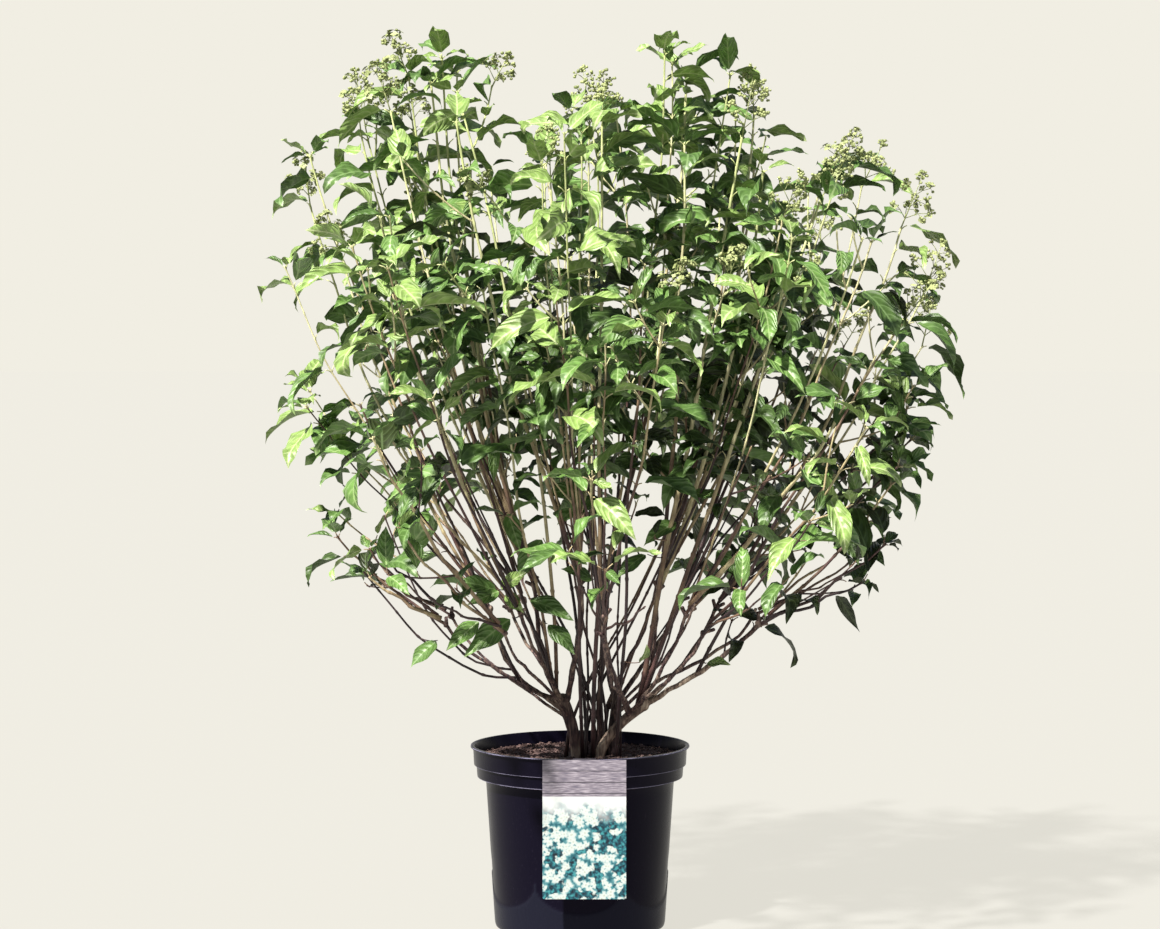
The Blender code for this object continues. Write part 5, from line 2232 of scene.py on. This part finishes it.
@dataclass
class FlowerHeads:
    """The panicles: a stalk with tiers of branchlets, each ending in a loose ball of buds or small florets."""

    crown: Crown
    length: float = 96 * MM
    tiers: int = 4
    bud: float = 2.6 * MM
    pedicel: float = 6.2 * MM
    first_tier: float = 0.16  # share of the head's length under its first tier
    tier_span: float = 0.66  # and from there to its last
    missing: float = 0.12  # share of branchlets that have failed
    bundle: MeshBundle = field(default_factory=MeshBundle)

    def ball(self) -> Shape:
        """Rounds a bud.

        Returns:
            A bud of twenty faces.
        """
        g = (1 + math.sqrt(5)) / 2
        points = [(-1, g, 0), (1, g, 0), (-1, -g, 0), (1, -g, 0), (0, -1, g), (0, 1, g)]
        points += [(0, -1, -g), (0, 1, -g), (g, 0, -1), (g, 0, 1), (-g, 0, -1), (-g, 0, 1)]
        faces = [(0, 11, 5), (0, 5, 1), (0, 1, 7), (0, 7, 10), (0, 10, 11), (1, 5, 9), (5, 11, 4)]
        faces += [(11, 10, 2), (10, 7, 6), (7, 1, 8), (3, 9, 4), (3, 4, 2), (3, 2, 6), (3, 6, 8)]
        faces += [(3, 8, 9), (4, 9, 5), (2, 4, 11), (6, 2, 10), (8, 6, 7), (9, 8, 1)]
        return np.array(points) / math.sqrt(1 + g * g), [list(face) for face in faces]

    def floret(self, place: Vector, facing: Vector, size: float, rng: Random) -> tuple[np.ndarray, list]:
        """Four broad petals round a point.

        Args:
            place: the point.
            facing: the way that it faces.
            size: a petal's length.
            rng: source of draws.

        Returns:
            Corners and faces.
        """
        first = square_to(facing, rng.uniform(0, math.tau))
        points, faces = [place], []
        for k in range(4):
            way = Matrix.Rotation(math.tau * k / 4, 3, facing) @ first
            side = facing.cross(way)
            i = len(points)
            points += [
                place + way * size * 0.55 + side * size * 0.46 + facing * size * 0.18,
                place + way * size * 1.0 + facing * size * 0.10,
                place + way * size * 0.55 - side * size * 0.46 + facing * size * 0.18,
            ]
            faces.append([0, i + 2, i + 1, i])
        return np.array(points), faces

    def build(self) -> Object:
        """Joins and finishes the flower heads.

        Returns:
            All flower heads as one piece.
        """
        rng = Random(SEED + 3)
        for shoot in self.crown.shoots:
            if shoot.head:
                self.grow_head(shoot, rng)
        finishes = [
            PlainTissue("flower_stalk_green", "#A3AA74", "#727C4C").build(),
            PlainTissue("flower_bud_cream", "#CFCF96", "#A9AC62", 0.5).build(),
            PlainTissue("floret_white", "#D6D4BC", "#BCBE98", 0.5).build(),
            PlainTissue("flower_bud_green", "#8C994E", "#4E5A32", 0.5).build(),
        ]
        heads = self.bundle.build("flower_heads")
        return finish_piece(heads, "flower_heads", finishes, ())

    def stalk(self, path: Sequence[Vector], radii: Sequence[float], sides: int = 3) -> None:
        """Adds a stalk along a path, with its radii in mm."""
        self.bundle.add(*tube(path, [radius * MM for radius in radii], sides))

    def grow_head(self, shoot: Shoot, rng: Random) -> None:
        """One panicle at the tip of a shoot.

        Args:
            shoot: the shoot.
            rng: source of draws.
        """
        tip, tangent = along(shoot.path, 10.0)
        lean = Vector((rng.gauss(0, 0.15), rng.gauss(0, 0.15), 0.0))
        way = (tangent + lean).normalized()
        length = self.length * shoot.head
        end = tip + way * length
        self.stalk([tip - tangent * 4 * MM, tip.lerp(end, 0.5), end], (1.5, 1.0, 0.6), 4)
        green_shares = (0.2, 0.5, 0.9) if tip.x > 0.2 else (0.1, 0.25, 0.6)
        habit = HeadHabit(rng.choice((0.0, 0.1, 0.25, 0.5)), rng.choice(green_shares))
        turn = rng.uniform(0, math.tau)
        for tier in range(self.tiers):
            share = self.first_tier + self.tier_span * tier / (self.tiers - 1)
            turn += math.pi / 2 + rng.gauss(0, 0.3)
            count = 3 if tier < 2 else 2
            for k in range(count):
                if rng.random() < self.missing:
                    continue
                away = square_to(way, turn + math.tau * k / count)
                reach = length * (0.42 * (1 - share) + 0.10) * rng.uniform(0.75, 1.25)
                start = tip + way * length * share
                out = (away + way * rng.uniform(0.4, 1.0)).normalized()
                middle = start + out * reach * 0.5 + UP * reach * 0.08
                self.stalk([start, middle, start + out * reach], (0.8, 0.65, 0.5))
                self.umbel(start + out * reach, out, rng.choice((5, 6, 8, 9)), habit, rng)
                if reach > 22 * MM:
                    side = square_to(out, rng.uniform(0, math.tau))
                    twig = middle + (side + out * 0.7).normalized() * reach * 0.38
                    self.stalk([middle, twig], (0.6, 0.45))
                    self.umbel(twig, (side + out).normalized(), rng.choice((5, 6, 8)), habit, rng)
        self.umbel(end, way, 10, habit, rng)

    def umbel(self, place: Vector, way: Vector, count: int, habit: HeadHabit, rng: Random) -> None:
        """A loose ball of buds on short stalks, some of them open.

        Args:
            place: where the stalks meet.
            way: the ball's main direction.
            count: number of buds.
            habit: how the head opens.
            rng: source of draws.
        """
        points, faces = self.ball()
        for _ in range(count):
            off = scatter(rng, 1.0).normalized() + way * 0.55
            off = off.normalized() * self.pedicel * rng.uniform(0.6, 1.35)
            self.stalk([place, place + off], (0.35, 0.3))
            if rng.random() < habit.open_share:
                facing = (off.normalized() + way * 0.5 + UP * 0.6).normalized()
                self.bundle.add(*self.floret(place + off, facing, rng.uniform(4.0, 6.5) * MM, rng), 2)
                continue
            size = self.bud * rng.uniform(0.7, 1.2)
            finish = 3 if rng.random() < habit.green_share else 1
            self.bundle.add(points * size + np.array(place + off), faces, finish)


# ---------------- studio


@dataclass(frozen=True)
class LitFloor:
    """Matt floor that glows faintly from within, as a light table, so that a shadow on it stays soft and pale."""

    paint: tuple[float, float, float] = (0.052, 0.052, 0.052)
    glow: tuple[float, float, float] = (0.736, 0.714, 0.639)

    def build(self) -> Material:
        """Builds its nodes.

        Returns:
            The material.
        """
        material, _, shader = start_material("lit_floor")
        set_inputs(shader, {"Base Color": (*self.paint, 1.0), "Roughness": 1.0, "Specular IOR Level": 0.0})
        set_inputs(shader, {"Emission Color": (*self.glow, 1.0), "Emission Strength": 1.0})
        return material


@dataclass(frozen=True)
class Surround:
    """A pale wall all round the horizon under a dimmer, cooler ceiling."""

    wall: str = "#F1EEE3"
    ceiling: tuple[float, float, float] = (0.20, 0.24, 0.31)
    wall_top: float = 0.16  # sine of the wall's height as seen from the middle
    ceiling_from: float = 0.30

    def build(self) -> World:
        """Builds its nodes.

        Returns:
            The world.
        """
        world = bpy.context.scene.world or bpy.data.worlds.new("surround")
        world.use_nodes = True
        add = partial(add_node, world.node_tree)
        height = add("SeparateXYZ", "Z", (add("TexCoord", "Generated"),))
        rise = (height, self.wall_top, self.ceiling_from)
        share = add("MapRange", 0, rise, interpolation_type="SMOOTHSTEP")
        colour = add("Mix", 2, {0: share, 6: srgb(self.wall), 7: (*self.ceiling, 1.0)}, data_type="RGBA")
        set_inputs(world.node_tree.nodes["Background"], {"Color": colour, "Strength": 1.0})
        return world


@dataclass
class Studio:
    """A plain pale floor under one key light, with a pale wall all round."""

    key_from: Vector = field(default_factory=lambda: Vector((-0.52, -0.66, 0.98)))
    key_strength: float = 10.0
    key_colour: tuple[float, float, float] = (1.0, 0.965, 0.89)
    key_softness: float = 2.6  # degrees
    floor_radius: float = 400.0
    camera_place: Vector = field(default_factory=lambda: EYE.copy())
    camera_target: Vector = field(default_factory=lambda: Vector((0.0, 0.0, 0.7149)))
    lens: float = 86.3

    def build(self) -> None:
        """Builds the floor, the lights and the camera."""
        deselect()
        bpy.ops.mesh.primitive_circle_add(vertices=64, radius=self.floor_radius, fill_type="NGON")
        floor = bpy.context.object
        floor.name = "studio_floor"
        floor.data.materials.append(LitFloor().build())
        bpy.context.scene.world = Surround().build()
        bpy.ops.object.light_add(type="SUN", location=self.key_from * 3)
        key = bpy.context.object
        key.name = "key_light"
        key.rotation_euler = self.key_from.to_track_quat("Z", "Y").to_euler()
        key.data.energy = self.key_strength
        key.data.color = self.key_colour
        key.data.angle = math.radians(self.key_softness)
        bpy.ops.object.camera_add(location=self.camera_place)
        camera = bpy.context.object
        camera.name = "main_camera"
        camera.rotation_euler = (self.camera_target - self.camera_place).to_track_quat("-Z", "Y").to_euler()
        camera.data.lens = self.lens
        camera.data.sensor_width = 36.0
        bpy.context.scene.camera = camera
        bpy.context.scene.view_settings.view_transform = "Standard"
        deselect()


def main() -> None:
    """Builds the studio, then every sub-assembly from the ground up."""
    logging.basicConfig(level=logging.INFO, format="%(message)s")
    Studio().build()
    masses = plan_masses()
    NurseryPot().build()
    CompostFill().build()
    PictureLabel().build()
    OldWood(masses).build()
    crown = Crown(masses)
    crown.grow()
    LOG.info("%d shoots and %d leaves", len(crown.shoots), len(crown.leaves))
    Canes(crown).build()
    Leaves(crown).build()
    FlowerHeads(crown).build()


if __name__ == "__main__":
    main()
